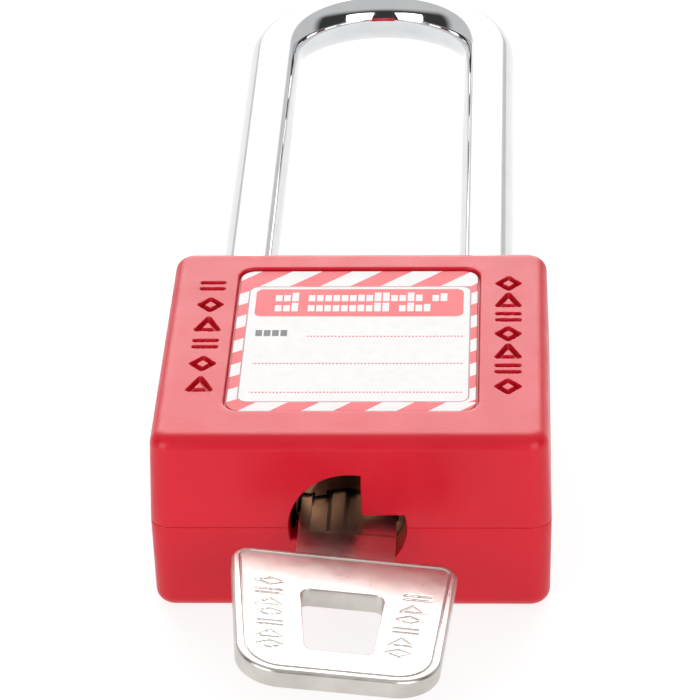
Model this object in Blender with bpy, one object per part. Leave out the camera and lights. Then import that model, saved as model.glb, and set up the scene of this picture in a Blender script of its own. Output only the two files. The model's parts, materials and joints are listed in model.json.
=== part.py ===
"""Safety padlock: a plastic body around a die-cast lock case, with a long shackle and a pin cylinder.

The padlock lies on its back. +X is to the right of the label, +Y points to the shackle and +Z is up,
out of the label. The origin is the centre of the flat back face. The cylinder's axis is parallel to Y.
"""

import math

import bmesh
import bpy
import numpy as np
from mathutils import Matrix, Vector

MM = 0.001
GAP = 0.3 * MM  # running and fitting gap between neighbouring pieces

# Plastic body
BODY_WIDTH = 40.0 * MM  # at the seam, where the two drafts start
BODY_HEIGHT = 38.0 * MM
BODY_DEPTH = 20.1 * MM
AXIS_Z = 9.8 * MM  # height of the seam, the shackle and the cylinder above the back face
FRONT_DRAFT = math.radians(2.0)
REAR_DRAFT = math.radians(1.0)
CORNER_RADIUS = 2.0 * MM
EDGE_RADIUS = 1.5 * MM
END_WALL = 2.2 * MM
CAVITY_HALF_WIDTH = 17.9 * MM
CAVITY_FRONT = 8.2 * MM  # from the axis plane
CAVITY_REAR = 7.9 * MM
TONGUE = 0.8 * MM  # thickness of the rear shell's locating tongue
TONGUE_HEIGHT = 1.2 * MM

# Label, in its recess in the front face
RECESS_WIDTH = 25.4 * MM
RECESS_HEIGHT = 28.6 * MM
RECESS_CENTRE_Y = 0.85 * MM
RECESS_DEPTH = 0.5 * MM
RECESS_CORNER = 1.8 * MM
LABEL_THICKNESS = 0.15 * MM
LABEL_LIFT = 0.1 * MM
LABEL_MARGIN = 0.25 * MM

# Shackle
ROD_RADIUS = 3.0 * MM
LEG_X = 13.1 * MM  # each leg's distance from the middle
CLEARANCE = 76.0 * MM  # from the body's top face to the inside of the bow
TOE_DEPTH = 12.9 * MM  # how far the short leg reaches into the body
HEEL_DEPTH = 34.6 * MM
LIFT = 14.5 * MM

# Pin across the lock case, which keeps the long leg in it
RETAINER_Y = 2.0 * MM
RETAINER_RADIUS = 0.8 * MM
RETAINER_HALF = 6.5 * MM
RETAINER_BITE = 0.2 * MM  # from the rod's round surface to the pin's middle

# Locking balls and the cam that drives them
BALL_RADIUS = 2.5 * MM
BALL_DEPTH = 8.4 * MM  # of the balls' line below the top face
BALL_TRAVEL = 2.1 * MM
CAM_LOW = 3.8 * MM
CAM_GAP = 0.35 * MM
CAM_SWEEP = math.radians(83.5)
CAM_HOLD = math.radians(95)  # where the lobe starts to fall again
CAM_FALL = math.radians(150)
TANG_HALF = 0.9 * MM  # half the thickness of the plug's tang
TANG_REACH = 2.7 * MM  # half its length

# Cylinder
PLUG_RADIUS = 5.9 * MM
PLUG_FACE_DEPTH = 3.8 * MM  # of the plug's face inside the bottom face
PLUG_TOP = 7.8 * MM
TANG_LENGTH = 1.8 * MM
FUNNEL_RADIUS = 4.5 * MM  # of the cone in the plug's face that guides the key
FUNNEL_DEPTH = 2.2 * MM
KEYHOLE_RADIUS = 5.75 * MM
KEYHOLE_SLOT = 1.4 * MM  # half the width of its two slots
HOUSING_BORE = 6.15 * MM
HOUSING_RADIUS = 6.85 * MM
HOUSING_TOP = 5.4 * MM
PIN_COUNT = 6
PIN_PITCH = 3.1 * MM
FIRST_PIN_Y = -13.0 * MM
PIN_RADIUS = 1.05 * MM
CHAMBER_RADIUS = 1.3 * MM
BIBLE_END = 16.0 * MM  # where the pin chambers open at their outer ends
BIBLE_HALF = 2.6 * MM
BIBLE_START = 3.0 * MM
BIBLE_TOP = 4.4 * MM
COVER_THICK = 0.5 * MM
DRIVER_LENGTH = 4.0 * MM

# Key, turned from level in the pose that is modelled
KEY_TURN = math.radians(6.5)
BLADE_HALF = 4.85 * MM
BLADE_THICK = 1.9 * MM
BLADE_TIP_Y = 4.6 * MM
CUTS = (0.9, 0.9, 1.4, 1.4, 1.8, 2.3)  # bitting depths in millimetres, from the head to the tip
PIN_TIP_GAP = 0.25 * MM
SHOULDER = 6.4 * MM  # of the head below the body's bottom face
HEAD_LENGTH = 20.2 * MM
HEAD_HALF_TOP = 11.2 * MM
HEAD_HALF_END = 9.4 * MM
HEAD_THICK = 2.0 * MM
HEAD_OFFSET = -0.3 * MM
RING_HOLE = (12.8 * MM, 22.7 * MM)  # from the bottom face
RING_HOLE_HALF = (4.1 * MM, 3.25 * MM)

# Worked out from the above
TOP_Y = BODY_HEIGHT / 2
BOTTOM_Y = -BODY_HEIGHT / 2
FRONT_Z = BODY_DEPTH - AXIS_Z
CASE_TOP = TOP_Y - END_WALL - GAP
CASE_BOTTOM = BOTTOM_Y + END_WALL + GAP
CASE_HALF_WIDTH = CAVITY_HALF_WIDTH - GAP
BEND_Y = TOP_Y + CLEARANCE + ROD_RADIUS - LEG_X
BALL_Y = TOP_Y - BALL_DEPTH
BALL_X = CAM_LOW + CAM_GAP + BALL_RADIUS
HEEL_Y = TOP_Y - HEEL_DEPTH
TOE_Y = TOP_Y - TOE_DEPTH
PLUG_FACE_Y = BOTTOM_Y + PLUG_FACE_DEPTH
TANG_TOP = PLUG_TOP + TANG_LENGTH
CAM_BOTTOM = BALL_Y - BALL_RADIUS
CAM_TOP = BALL_Y + BALL_RADIUS
RETAINER_X = LEG_X - ROD_RADIUS - RETAINER_BITE
PIN_YS = [FIRST_PIN_Y + PIN_PITCH * i for i in range(PIN_COUNT)]


# ---------------------------------------------------------------- mesh and object helpers


def material(name, colour, roughness, metallic=0.0):
    made = bpy.data.materials.new(name)
    made.use_nodes = True
    shader = made.node_tree.nodes["Principled BSDF"]
    shader.inputs["Base Color"].default_value = (*colour, 1.0)
    shader.inputs["Roughness"].default_value = roughness
    shader.inputs["Metallic"].default_value = metallic
    made.diffuse_color = (*colour, 1.0)
    return made


def object_from(name, bm, finish, place=(0, 0, AXIS_Z), parent=None):
    """An object whose mesh is the bmesh, with its normals made consistent."""
    bmesh.ops.recalc_face_normals(bm, faces=bm.faces)
    mesh = bpy.data.meshes.new(name)
    bm.to_mesh(mesh)
    bm.free()
    mesh.shade_smooth()
    mesh.set_sharp_from_angle(angle=math.radians(35))
    made = bpy.data.objects.new(name, mesh)
    made.data.materials.append(finish)
    bpy.context.scene.collection.objects.link(made)
    made.location = place
    made.parent = parent
    return made


def boolean(target, bm, operation="DIFFERENCE"):
    """Cuts the bmesh from the target, or joins it on. The bmesh is in the target's own coordinates."""
    name = f"{target.name}_{operation.lower()}_{len(target.modifiers)}"
    helper = object_from(name, bm, target.data.materials[0], target.location, target.parent)
    helper.hide_render = True
    helper.display_type = "WIRE"
    modifier = target.modifiers.new(name, "BOOLEAN")
    modifier.operation = operation
    modifier.solver = "EXACT"
    modifier.object = helper


def lofted(rings):
    """A closed solid through rings of points, which all have the same number of points."""
    bm = bmesh.new()
    made = [[bm.verts.new(p) for p in ring] for ring in rings]
    for low, high in zip(made, made[1:]):
        for i in range(len(low)):
            j = (i + 1) % len(low)
            bm.faces.new((low[i], low[j], high[j], high[i]))
    bm.faces.new(made[0])
    bm.faces.new(made[-1])
    return bm


def prism(outline, low, high, axis="Z"):
    """A flat outline carried straight along an axis. Its points are (x, y) for Z and (x, z) for Y."""
    if axis == "Z":
        return lofted([[(u, v, t) for u, v in outline] for t in (low, high)])
    return lofted([[(u, t, v) for u, v in outline] for t in (low, high)])


def box(low, high):
    (x0, y0, z0), (x1, y1, z1) = low, high
    return prism([(x0, y0), (x1, y0), (x1, y1), (x0, y1)], z0, z1)


def turned(profile, sides, axis="Y", centre=(0, 0, 0), phase=0.5):
    """A profile of (radius, position) turned about an axis. A radius of 0 closes the solid at a point."""
    bm = bmesh.new()
    turn = {
        "X": Matrix(((0, 0, 1), (1, 0, 0), (0, 1, 0))),
        "Y": Matrix(((0, 1, 0), (0, 0, 1), (1, 0, 0))),
        "Z": Matrix.Identity(3),
    }[axis]
    angles = [2 * math.pi * (i + phase) / sides for i in range(sides)]
    rings = []
    for radius, position in profile:
        points = [(0, 0, position)] if radius == 0 else [
            (radius * math.cos(a), radius * math.sin(a), position) for a in angles
        ]
        rings.append([bm.verts.new(turn @ Vector(p) + Vector(centre)) for p in points])
    for low, high in zip(rings, rings[1:]):
        for i in range(sides):
            j = (i + 1) % sides
            corners = [low[i % len(low)], low[j % len(low)], high[j % len(high)], high[i % len(high)]]
            bm.faces.new(list(dict.fromkeys(corners)))
    for end in (rings[0], rings[-1]):
        if len(end) > 1:
            bm.faces.new(end)
    return bm


def ring(inner, outer, low, high, sides):
    """A square-sectioned ring about the Y axis."""
    angles = [2 * math.pi * (i + 0.5) / sides for i in range(sides)]
    bm = bmesh.new()
    loops = [
        [bm.verts.new((r * math.cos(a), y, r * math.sin(a))) for a in angles]
        for r, y in ((inner, low), (outer, low), (outer, high), (inner, high))
    ]
    for this, following in zip(loops, loops[1:] + loops[:1]):
        for i in range(sides):
            j = (i + 1) % sides
            bm.faces.new((this[i], this[j], following[j], following[i]))
    return bm


def rounded_rectangle(half_x, half_y, radius, segments=4, centre=(0, 0)):
    """Corner points of a rectangle with round corners, anticlockwise."""
    points = []
    for quarter, (sx, sy) in enumerate(((1, 1), (-1, 1), (-1, -1), (1, -1))):
        for i in range(segments + 1):
            a = math.radians(90 * (quarter + i / segments))
            points.append((
                centre[0] + sx * (half_x - radius) + radius * math.cos(a),
                centre[1] + sy * (half_y - radius) + radius * math.sin(a),
            ))
    return points


def swept(points, normals, radii, sides):
    """A round rod along a line of points. Each ring lies square to the line, with its own radius."""
    points, normals = np.array(points), np.array(normals)
    radius = np.broadcast_to(radii, len(points))[:, None, None]
    along = np.gradient(points, axis=0)
    along /= np.linalg.norm(along, axis=1)[:, None]
    across = np.cross(along, normals)
    across /= np.linalg.norm(across, axis=1)[:, None]
    upright = np.cross(across, along)
    angles = 2 * np.pi * (np.arange(sides) + 0.5) / sides
    rings = (
        points[:, None]
        + radius * np.cos(angles)[:, None] * across[:, None]
        + radius * np.sin(angles)[:, None] * upright[:, None]
    )
    return lofted([[tuple(p) for p in one] for one in rings])


# ---------------------------------------------------------------- body


def shell_outer(height, draft, start):
    """One half of the body: straight drafted sides and a round edge, from the seam outwards.

    The height is signed, so a negative one makes the rear half.
    """
    sign = math.copysign(1, height)
    rise = abs(height) - EDGE_RADIUS
    half_x, half_y = BODY_WIDTH / 2, BODY_HEIGHT / 2
    rings = []
    for z in (abs(start), rise):
        inset = z * math.tan(draft)
        rings.append([(x, y, sign * z) for x, y in rounded_rectangle(half_x - inset, half_y, CORNER_RADIUS)])
    steps = 4
    for i in range(1, steps + 1):
        a = math.radians(90 * i / steps)
        sunk = EDGE_RADIUS * (1 - math.cos(a))
        z = rise + EDGE_RADIUS * math.sin(a)
        outline = rounded_rectangle(
            half_x - rise * math.tan(draft) - sunk, half_y - sunk, CORNER_RADIUS - 0.9 * sunk
        )
        rings.append([(x, y, sign * z) for x, y in outline])
    return lofted(rings)


def keyhole_cutter():
    """The keyhole in the plastic: a level and an upright slot, and the two quarters that a turning
    key sweeps between them."""
    half, radius = KEYHOLE_SLOT, KEYHOLE_RADIUS
    edge = math.asin(half / radius)
    steps = 7
    sweep = [math.pi / 2 - edge + (math.pi / 2 + 2 * edge) * i / steps for i in range(steps + 1)]
    upper = [(radius * math.cos(a), radius * math.sin(a)) for a in sweep]
    lower = [(-x, -z) for x, z in upper]
    outline = [(half, half)] + upper + [(-half, -half)] + lower
    return prism(outline, BOTTOM_Y - 2 * MM, CASE_BOTTOM, "Y")


def make_shells(red):
    cavity_y = BODY_HEIGHT / 2 - END_WALL
    half_seam = GAP / 2
    shells = []
    for name, height, draft, depth in (
        ("front_shell", FRONT_Z, FRONT_DRAFT, CAVITY_FRONT),
        ("rear_shell", -AXIS_Z, REAR_DRAFT, -CAVITY_REAR),
    ):
        shell = object_from(name, shell_outer(height, draft, half_seam), red)
        past = -math.copysign(2 * MM, height)
        boolean(shell, prism(rounded_rectangle(CAVITY_HALF_WIDTH, cavity_y, 0.6 * MM, 2), past, depth))
        shells.append(shell)
    front, rear = shells

    tongue_x, tongue_y = CAVITY_HALF_WIDTH + TONGUE, cavity_y + TONGUE
    rebate = rounded_rectangle(tongue_x + GAP, tongue_y + GAP, 1.3 * MM, 2)
    boolean(front, prism(rebate, -1 * MM, TONGUE_HEIGHT + GAP))
    tongue = lofted([
        [(x, y, z) for x, y in rounded_rectangle(tongue_x, tongue_y, 1.1 * MM, 2)]
        for z in (-1 * MM, TONGUE_HEIGHT)
    ])
    boolean(rear, tongue, "UNION")
    boolean(rear, prism(rounded_rectangle(CAVITY_HALF_WIDTH, cavity_y, 0.6 * MM, 2), -CAVITY_REAR, 3 * MM))

    recess = rounded_rectangle(
        RECESS_WIDTH / 2, RECESS_HEIGHT / 2, RECESS_CORNER, 4, (0, RECESS_CENTRE_Y)
    )
    boolean(front, prism(recess, FRONT_Z - RECESS_DEPTH, FRONT_Z + 2 * MM))
    for shell in shells:
        for x in (-LEG_X, LEG_X):
            hole = [(ROD_RADIUS + GAP, TOP_Y - 6 * MM), (ROD_RADIUS + GAP, TOP_Y + 2 * MM)]
            boolean(shell, turned(hole, 24, "Y", (x, 0, 0), 0))
        boolean(shell, keyhole_cutter())


def make_label(paper):
    outline = rounded_rectangle(
        RECESS_WIDTH / 2 - LABEL_MARGIN,
        RECESS_HEIGHT / 2 - LABEL_MARGIN,
        RECESS_CORNER - LABEL_MARGIN,
        4,
        (0, RECESS_CENTRE_Y),
    )
    floor = FRONT_Z - RECESS_DEPTH + LABEL_LIFT
    object_from("front_label", prism(outline, floor, floor + LABEL_THICKNESS), paper)


# ---------------------------------------------------------------- shackle and what holds it


def make_shackle(chrome):
    """A rod up the long leg, round the bow and down the short leg, with its turned and milled seats."""
    chamfer = 0.6 * MM
    points = [(-LEG_X, HEEL_Y, 0), (-LEG_X, HEEL_Y + chamfer, 0), (-LEG_X, BEND_Y / 2, 0)]
    bend = [math.pi * i / 20 for i in range(21)]
    points += [(-LEG_X * math.cos(a), BEND_Y + LEG_X * math.sin(a), 0) for a in bend]
    points += [(LEG_X, BEND_Y / 2, 0), (LEG_X, TOE_Y + chamfer, 0), (LEG_X, TOE_Y, 0)]
    from_heel = [(x + LEG_X, y, z) for x, y, z in points]
    radii = [ROD_RADIUS] * len(points)
    radii[0] = radii[-1] = ROD_RADIUS - chamfer
    rod = swept(from_heel, [(0, 0, 1)] * len(points), radii, 20)
    shackle = object_from("shackle", rod, chrome, (-LEG_X, 0, AXIS_Z))
    notch = BALL_RADIUS + GAP
    reach = 5 * MM
    for x in (LEG_X - BALL_X - BALL_TRAVEL, LEG_X + BALL_X + BALL_TRAVEL):
        boolean(shackle, turned([(notch, -reach), (notch, reach)], 24, "Z", (x, BALL_Y, 0)))
    ball_neck = LEG_X - BALL_X - BALL_TRAVEL - BALL_RADIUS - 0.2 * MM
    groove_half = 2.4 * MM
    lifted = BALL_Y - LIFT
    boolean(shackle, ring(ball_neck, 4 * MM, lifted - groove_half, lifted + groove_half, 20))
    pin_room = RETAINER_RADIUS + GAP
    flat_low, flat_high = RETAINER_Y - LIFT - pin_room, RETAINER_Y + pin_room
    flat_x = LEG_X - RETAINER_X - RETAINER_RADIUS - GAP
    boolean(shackle, box((flat_x, flat_low, -reach), (flat_x + reach, flat_high, reach)))
    boolean(shackle, ring(flat_x, 4 * MM, flat_low, flat_low + 2 * pin_room, 20))


def make_retainer(steel):
    chamfer = 0.2 * MM
    profile = [
        (RETAINER_RADIUS - chamfer, -RETAINER_HALF),
        (RETAINER_RADIUS, -RETAINER_HALF + chamfer),
        (RETAINER_RADIUS, RETAINER_HALF - chamfer),
        (RETAINER_RADIUS - chamfer, RETAINER_HALF),
    ]
    object_from("retaining_pin", turned(profile, 14, "Z", (-RETAINER_X, RETAINER_Y, 0)), steel)


def make_balls(steel):
    """Balls turned from half circles, in the released position."""
    steps = 8
    arc = [math.pi * i / steps for i in range(steps + 1)]
    profile = [(BALL_RADIUS * math.sin(a), -BALL_RADIUS * math.cos(a)) for a in arc]
    profile[0], profile[-1] = (0, -BALL_RADIUS), (0, BALL_RADIUS)
    for name, x in (("locking_ball_left", -BALL_X), ("locking_ball_right", BALL_X)):
        object_from(name, turned(profile, 16, "X"), steel, (x, BALL_Y, AXIS_Z))


def make_case(zinc):
    """The die-cast case: a block with the bores for the shackle, cylinder, balls and retaining pin."""
    half_width = CASE_HALF_WIDTH
    outline = rounded_rectangle(half_width, (CASE_TOP - CASE_BOTTOM) / 2, 0.5 * MM, 2)
    case = object_from(
        "lock_case", prism(outline, -CAVITY_REAR + GAP, CAVITY_FRONT - GAP), zinc
    )
    bore = ROD_RADIUS + 0.25 * MM
    for x, end in ((-LEG_X, HEEL_Y - GAP), (LEG_X, TOE_Y - GAP)):
        boolean(case, turned([(bore, end), (bore, TOP_Y)], 24, "Y", (x, 0, 0), 0))
    room = HOUSING_RADIUS + GAP
    boolean(case, turned([(room, BOTTOM_Y), (room, CAM_TOP + GAP)], 32, "Y"))
    channel = BALL_RADIUS + 0.25 * MM
    boolean(case, turned([(channel, -LEG_X), (channel, LEG_X)], 24, "X", (0, BALL_Y, 0)))
    pocket = BIBLE_HALF + GAP
    pocket_end = BIBLE_END + COVER_THICK + 2 * GAP
    boolean(case, box((BIBLE_START, BOTTOM_Y, -pocket), (pocket_end, BIBLE_TOP + GAP, pocket)))
    pin_hole = RETAINER_RADIUS + 0.25 * MM
    profile = [(pin_hole, -RETAINER_HALF - GAP), (pin_hole, FRONT_Z)]
    boolean(case, turned(profile, 14, "Z", (-RETAINER_X, RETAINER_Y, 0)))


def at(radius, angle):
    """A point (x, z) at an angle that turns as the key does, from +X towards -Z."""
    return radius * math.cos(angle), -radius * math.sin(angle)


def tang_window():
    """The two quarters that the plug's tang sweeps in the cam, with some slack. This window gives the
    plug its lost motion: it can turn back with the key while the cam stays released."""
    slack, half, reach = math.radians(3), TANG_HALF + 0.2 * MM, TANG_REACH + 0.5 * MM
    edge = math.asin(half / reach)
    corner = half / math.sin(math.pi / 4 - slack)
    steps = 8
    outline = []
    for start in (0, math.pi):
        outline.append(at(corner, start - math.pi / 4))
        span = math.pi / 2 + 2 * (slack + edge)
        outline += [at(reach, start - slack - edge + span * i / steps) for i in range(steps + 1)]
    return outline


def make_cam(steel):
    """A two-lobed cam. Its radius grows in proportion to the angle, so that the balls move evenly."""
    high = CAM_LOW + BALL_TRAVEL
    steps = 60
    outline = []
    for i in range(steps):
        turn = 2 * math.pi * i / steps % math.pi
        if turn <= CAM_SWEEP:
            radius = CAM_LOW + BALL_TRAVEL * turn / CAM_SWEEP
        elif turn <= CAM_HOLD:
            radius = high
        else:
            radius = max(CAM_LOW, high - BALL_TRAVEL * (turn - CAM_HOLD) / (CAM_FALL - CAM_HOLD))
        outline.append(at(radius, 2 * math.pi * i / steps))
    cam = object_from("cam", prism(outline, CAM_BOTTOM, CAM_TOP, "Y"), steel)
    boolean(cam, prism(tang_window(), CAM_BOTTOM - 1 * MM, TANG_TOP + GAP, "Y"))


# ---------------------------------------------------------------- cylinder


def drill_chambers(target, start):
    """The row of pin holes along +X, in the target's own coordinates."""
    for y in PIN_YS:
        hole = [(CHAMBER_RADIUS, start), (CHAMBER_RADIUS, BIBLE_END + 1 * MM)]
        boolean(target, turned(hole, 14, "X", (0, y, 0)))


def make_housing(brass):
    """The barrel around the plug, with the block that holds the pin chambers."""
    barrel = [(HOUSING_RADIUS, CASE_BOTTOM), (HOUSING_RADIUS, HOUSING_TOP)]
    housing = object_from("cylinder_housing", turned(barrel, 32, "Y"), brass)
    block = box((BIBLE_START, CASE_BOTTOM + GAP, -BIBLE_HALF), (BIBLE_END, BIBLE_TOP, BIBLE_HALF))
    boolean(housing, block, "UNION")
    bore = [(HOUSING_BORE, CASE_BOTTOM - 1 * MM), (HOUSING_BORE, HOUSING_TOP + 1 * MM)]
    boolean(housing, turned(bore, 32, "Y"))
    drill_chambers(housing, BIBLE_START)


def make_chamber_cover(brass):
    low = (BIBLE_END + GAP, CASE_BOTTOM + 2 * GAP, -BIBLE_HALF + GAP)
    high = (BIBLE_END + GAP + COVER_THICK, BIBLE_TOP - GAP, BIBLE_HALF - GAP)
    object_from("chamber_cover", box(low, high), brass)


def blade_profile(clear, ribs):
    """The section of the key's blade, as (x, z) points, or of the keyway around it.

    Clear is the room around the blade. The grooves are as deep as the ribs that fill them are high.
    """
    half, top = BLADE_HALF + clear, BLADE_THICK / 2 + clear
    deep = 0.55 * MM
    shrink = clear + 0.05 * MM if ribs else 0
    upper = (-4.0 * MM + shrink, -2.4 * MM - shrink)
    lower = (-3.2 * MM + shrink, -1.6 * MM - shrink)
    outline = [(half, -top), (half, top)]
    if not ribs:
        step, step_deep = 1.2 * MM, 0.25 * MM
        narrow, narrow_deep = -0.5 * MM, 0.35 * MM
        outline = [(half, -top), (half, top - step_deep), (step, top - step_deep), (step, top)]
        outline += [(0, top), (0, top - narrow_deep), (narrow, top - narrow_deep), (narrow, top)]
    outline += [(upper[1], top), (upper[1], top - deep), (upper[0], top - deep), (upper[0], top)]
    outline += [(-half, top), (-half, -top)]
    outline += [(lower[0], -top), (lower[0], -top + deep), (lower[1], -top + deep), (lower[1], -top)]
    return outline


def make_plug(brass, parent):
    """The turned core: a funnel in its face, a groove for its clip and the tang at its inner end,
    then the keyway and the pin chambers."""
    chamfer = 0.3 * MM
    groove_radius = PLUG_RADIUS - 0.8 * MM
    groove_low, groove_high = HOUSING_TOP + 0.25 * MM, PLUG_TOP - 0.75 * MM
    profile = [
        (0, PLUG_FACE_Y + FUNNEL_DEPTH),
        (FUNNEL_RADIUS, PLUG_FACE_Y),
        (PLUG_RADIUS - chamfer, PLUG_FACE_Y),
        (PLUG_RADIUS, PLUG_FACE_Y + chamfer),
        (PLUG_RADIUS, groove_low),
        (groove_radius, groove_low),
        (groove_radius, groove_high),
        (PLUG_RADIUS, groove_high),
        (PLUG_RADIUS, PLUG_TOP),
    ]
    plug = object_from("plug", turned(profile, 32, "Y"), brass, (0, 0, 0), parent)
    tang = box((-TANG_REACH, PLUG_TOP - 1 * MM, -TANG_HALF), (TANG_REACH, TANG_TOP, TANG_HALF))
    boolean(plug, tang, "UNION")
    keyway = blade_profile(0.2 * MM, True)
    boolean(plug, prism(keyway, BOTTOM_Y, BLADE_TIP_Y + 0.5 * MM, "Y"))
    drill_chambers(plug, 1.0 * MM)


def make_plug_clip(steel, parent):
    """A snap ring in the plug's groove, open over 50 degrees."""
    inner, outer, steps = PLUG_RADIUS - 0.55 * MM, HOUSING_RADIUS - 0.1 * MM, 18
    angles = [math.radians(25 + 310 * i / steps) for i in range(steps + 1)]
    outline = [at(outer, a) for a in angles] + [at(inner, a) for a in reversed(angles)]
    low = HOUSING_TOP + 0.55 * MM
    object_from("plug_clip", prism(outline, low, low + 0.8 * MM, "Y"), steel, (0, 0, 0), parent)


def pin_profile(low, high, tip):
    """A pin between two places along its axis, with a narrower tip at the low end."""
    slope = 0.3 * MM
    return [
        (tip, low),
        (PIN_RADIUS, low + slope),
        (PIN_RADIUS, high - slope),
        (PIN_RADIUS - slope, high),
    ]


def make_pin_stacks(brass, nickel, spring_steel, parent):
    """The key pins in the turned plug, and the driver pins and springs in the still housing."""
    driver_low = HOUSING_BORE + 0.15 * MM
    spring_low = driver_low + DRIVER_LENGTH + GAP
    spring_high = BIBLE_END - GAP
    wire, coil, turns, per_turn = 0.16 * MM, 0.93 * MM, 4.5, 10
    count = int(turns * per_turn) + 1
    for number, (y, cut) in enumerate(zip(PIN_YS, CUTS), 1):
        low = BLADE_HALF - cut * MM + PIN_TIP_GAP
        pin = turned(pin_profile(low, PLUG_RADIUS - 0.2 * MM, 0.55 * MM), 12, "X")
        object_from(f"key_pin_{number}", pin, brass, (0, y, 0), parent)
        driver = turned(pin_profile(driver_low, driver_low + DRIVER_LENGTH, 0.75 * MM), 12, "X")
        object_from(f"driver_pin_{number}", driver, nickel, (0, y, AXIS_Z))
        angles = [2 * math.pi * i / per_turn for i in range(count)]
        reach = spring_high - spring_low - 2 * wire
        points = [
            (spring_low + wire + reach * i / (count - 1), coil * math.cos(a), coil * math.sin(a))
            for i, a in enumerate(angles)
        ]
        outward = [(0, math.cos(a), math.sin(a)) for a in angles]
        spring = swept(points, outward, wire, 5)
        object_from(f"pin_spring_{number}", spring, spring_steel, (0, y, AXIS_Z))


# ---------------------------------------------------------------- key


def rounded_polygon(corners, radii, segments=5):
    """A convex polygon with an arc of its own radius at each corner."""
    points = []
    for i, (corner, radius) in enumerate(zip(corners, radii)):
        corner = Vector(corner)
        before = (Vector(corners[i - 1]) - corner).normalized()
        after = (Vector(corners[(i + 1) % len(corners)]) - corner).normalized()
        half_angle = before.angle(after) / 2
        middle = corner + (before + after).normalized() * radius / math.sin(half_angle)
        first = corner + before * radius / math.tan(half_angle) - middle
        last = corner + after * radius / math.tan(half_angle) - middle
        turn = first.angle_signed(last)
        for step in range(segments + 1):
            spoke = first.copy()
            spoke.rotate(Matrix.Rotation(-turn * step / segments, 2))
            points.append(tuple(middle + spoke))
    return points


def head_outline(inset):
    top, end = BOTTOM_Y - SHOULDER - inset, BOTTOM_Y - SHOULDER - HEAD_LENGTH + inset
    wide, narrow = HEAD_HALF_TOP - inset, HEAD_HALF_END - inset
    corners = [(wide, top), (-wide, top), (-narrow, end), (narrow, end)]
    radii = [1.8 * MM - inset, 1.8 * MM - inset, 4.5 * MM - inset, 4.5 * MM - inset]
    return [(x + HEAD_OFFSET, y) for x, y in rounded_polygon(corners, radii)]


def bitting_cutter():
    """What the cutter wheel takes from the blade's edge: a stair of flats, one for each pin.

    The cuts only get deeper towards the tip, so that the blade draws out past pins that lie still.
    """
    flat = 0.55 * MM
    edge = [(BLADE_HALF + 1 * MM, PIN_YS[0] - 2.6 * MM), (BLADE_HALF, PIN_YS[0] - 1.6 * MM)]
    for y, cut in zip(PIN_YS, CUTS):
        edge += [(BLADE_HALF - cut * MM, y - flat), (BLADE_HALF - cut * MM, y + flat)]
    edge += [(0.6 * MM, BLADE_TIP_Y + 0.2 * MM), (BLADE_HALF + 1 * MM, BLADE_TIP_Y + 1 * MM)]
    return prism(edge, -2 * MM, 2 * MM)


def make_key(nickel, parent):
    rim, half = 0.3 * MM, HEAD_THICK / 2
    rings = []
    for inset, z in ((rim, -half), (0, rim - half), (0, half - rim), (rim, half)):
        rings.append([(x, y, z) for x, y in head_outline(inset)])
    key = object_from("key", lofted(rings), nickel, (0, 0, 0), parent)
    blade = prism(blade_profile(0, False), BOTTOM_Y - SHOULDER - 1 * MM, BLADE_TIP_Y, "Y")
    boolean(key, blade, "UNION")
    boolean(key, bitting_cutter())
    back = [(-BLADE_HALF - 1 * MM, BLADE_TIP_Y - 2 * MM), (-1.6 * MM, BLADE_TIP_Y + 1 * MM)]
    back.append((-BLADE_HALF - 1 * MM, BLADE_TIP_Y + 1 * MM))
    boolean(key, prism(back, -2 * MM, 2 * MM))
    near, far = (BOTTOM_Y - depth for depth in RING_HOLE)
    wide, narrow = RING_HOLE_HALF
    corners = [(wide, near), (-wide, near), (-narrow, far), (narrow, far)]
    hole = [(x + HEAD_OFFSET, y) for x, y in rounded_polygon(corners, [0.9 * MM] * 4, 3)]
    boolean(key, prism(hole, -2 * MM, 2 * MM))


# ---------------------------------------------------------------- the whole padlock


def clear_scene():
    for found in list(bpy.data.objects):
        bpy.data.objects.remove(found, do_unlink=True)


def main():
    clear_scene()
    red = material("red_plastic", (0.70, 0.015, 0.035), 0.38)
    paper = material("label_print", (0.93, 0.90, 0.90), 0.45)
    chrome = material("chrome_plate", (0.82, 0.83, 0.85), 0.08, 1.0)
    nickel = material("nickel_plate", (0.75, 0.73, 0.70), 0.30, 1.0)
    brass = material("brass", (0.70, 0.52, 0.28), 0.32, 1.0)
    steel = material("steel", (0.55, 0.56, 0.58), 0.25, 1.0)
    zinc = material("die_cast_zinc", (0.48, 0.49, 0.51), 0.50, 1.0)

    plug_axis = bpy.data.objects.new("plug_axis", None)
    bpy.context.scene.collection.objects.link(plug_axis)
    plug_axis.location = (0, 0, AXIS_Z)
    plug_axis.rotation_euler = (0, KEY_TURN, 0)

    make_shells(red)
    make_label(paper)
    make_case(zinc)
    make_shackle(chrome)
    make_retainer(steel)
    make_balls(steel)
    make_cam(steel)
    make_housing(brass)
    make_chamber_cover(brass)
    make_plug(brass, plug_axis)
    make_plug_clip(steel, plug_axis)
    make_pin_stacks(brass, nickel, steel, plug_axis)
    make_key(nickel, plug_axis)


main()
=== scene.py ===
"""Looks of the safety padlock: moulded body, printed label, chromed shackle, plated key and brass plug.

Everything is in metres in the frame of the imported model: the padlock lies on its back, +X is to the right
of the label, +Y points to the shackle and +Z is up. Sizes come from the frame where it has them.
"""

import json
import math

import bpy
import numpy as np
from mathutils import Matrix, Vector


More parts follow.
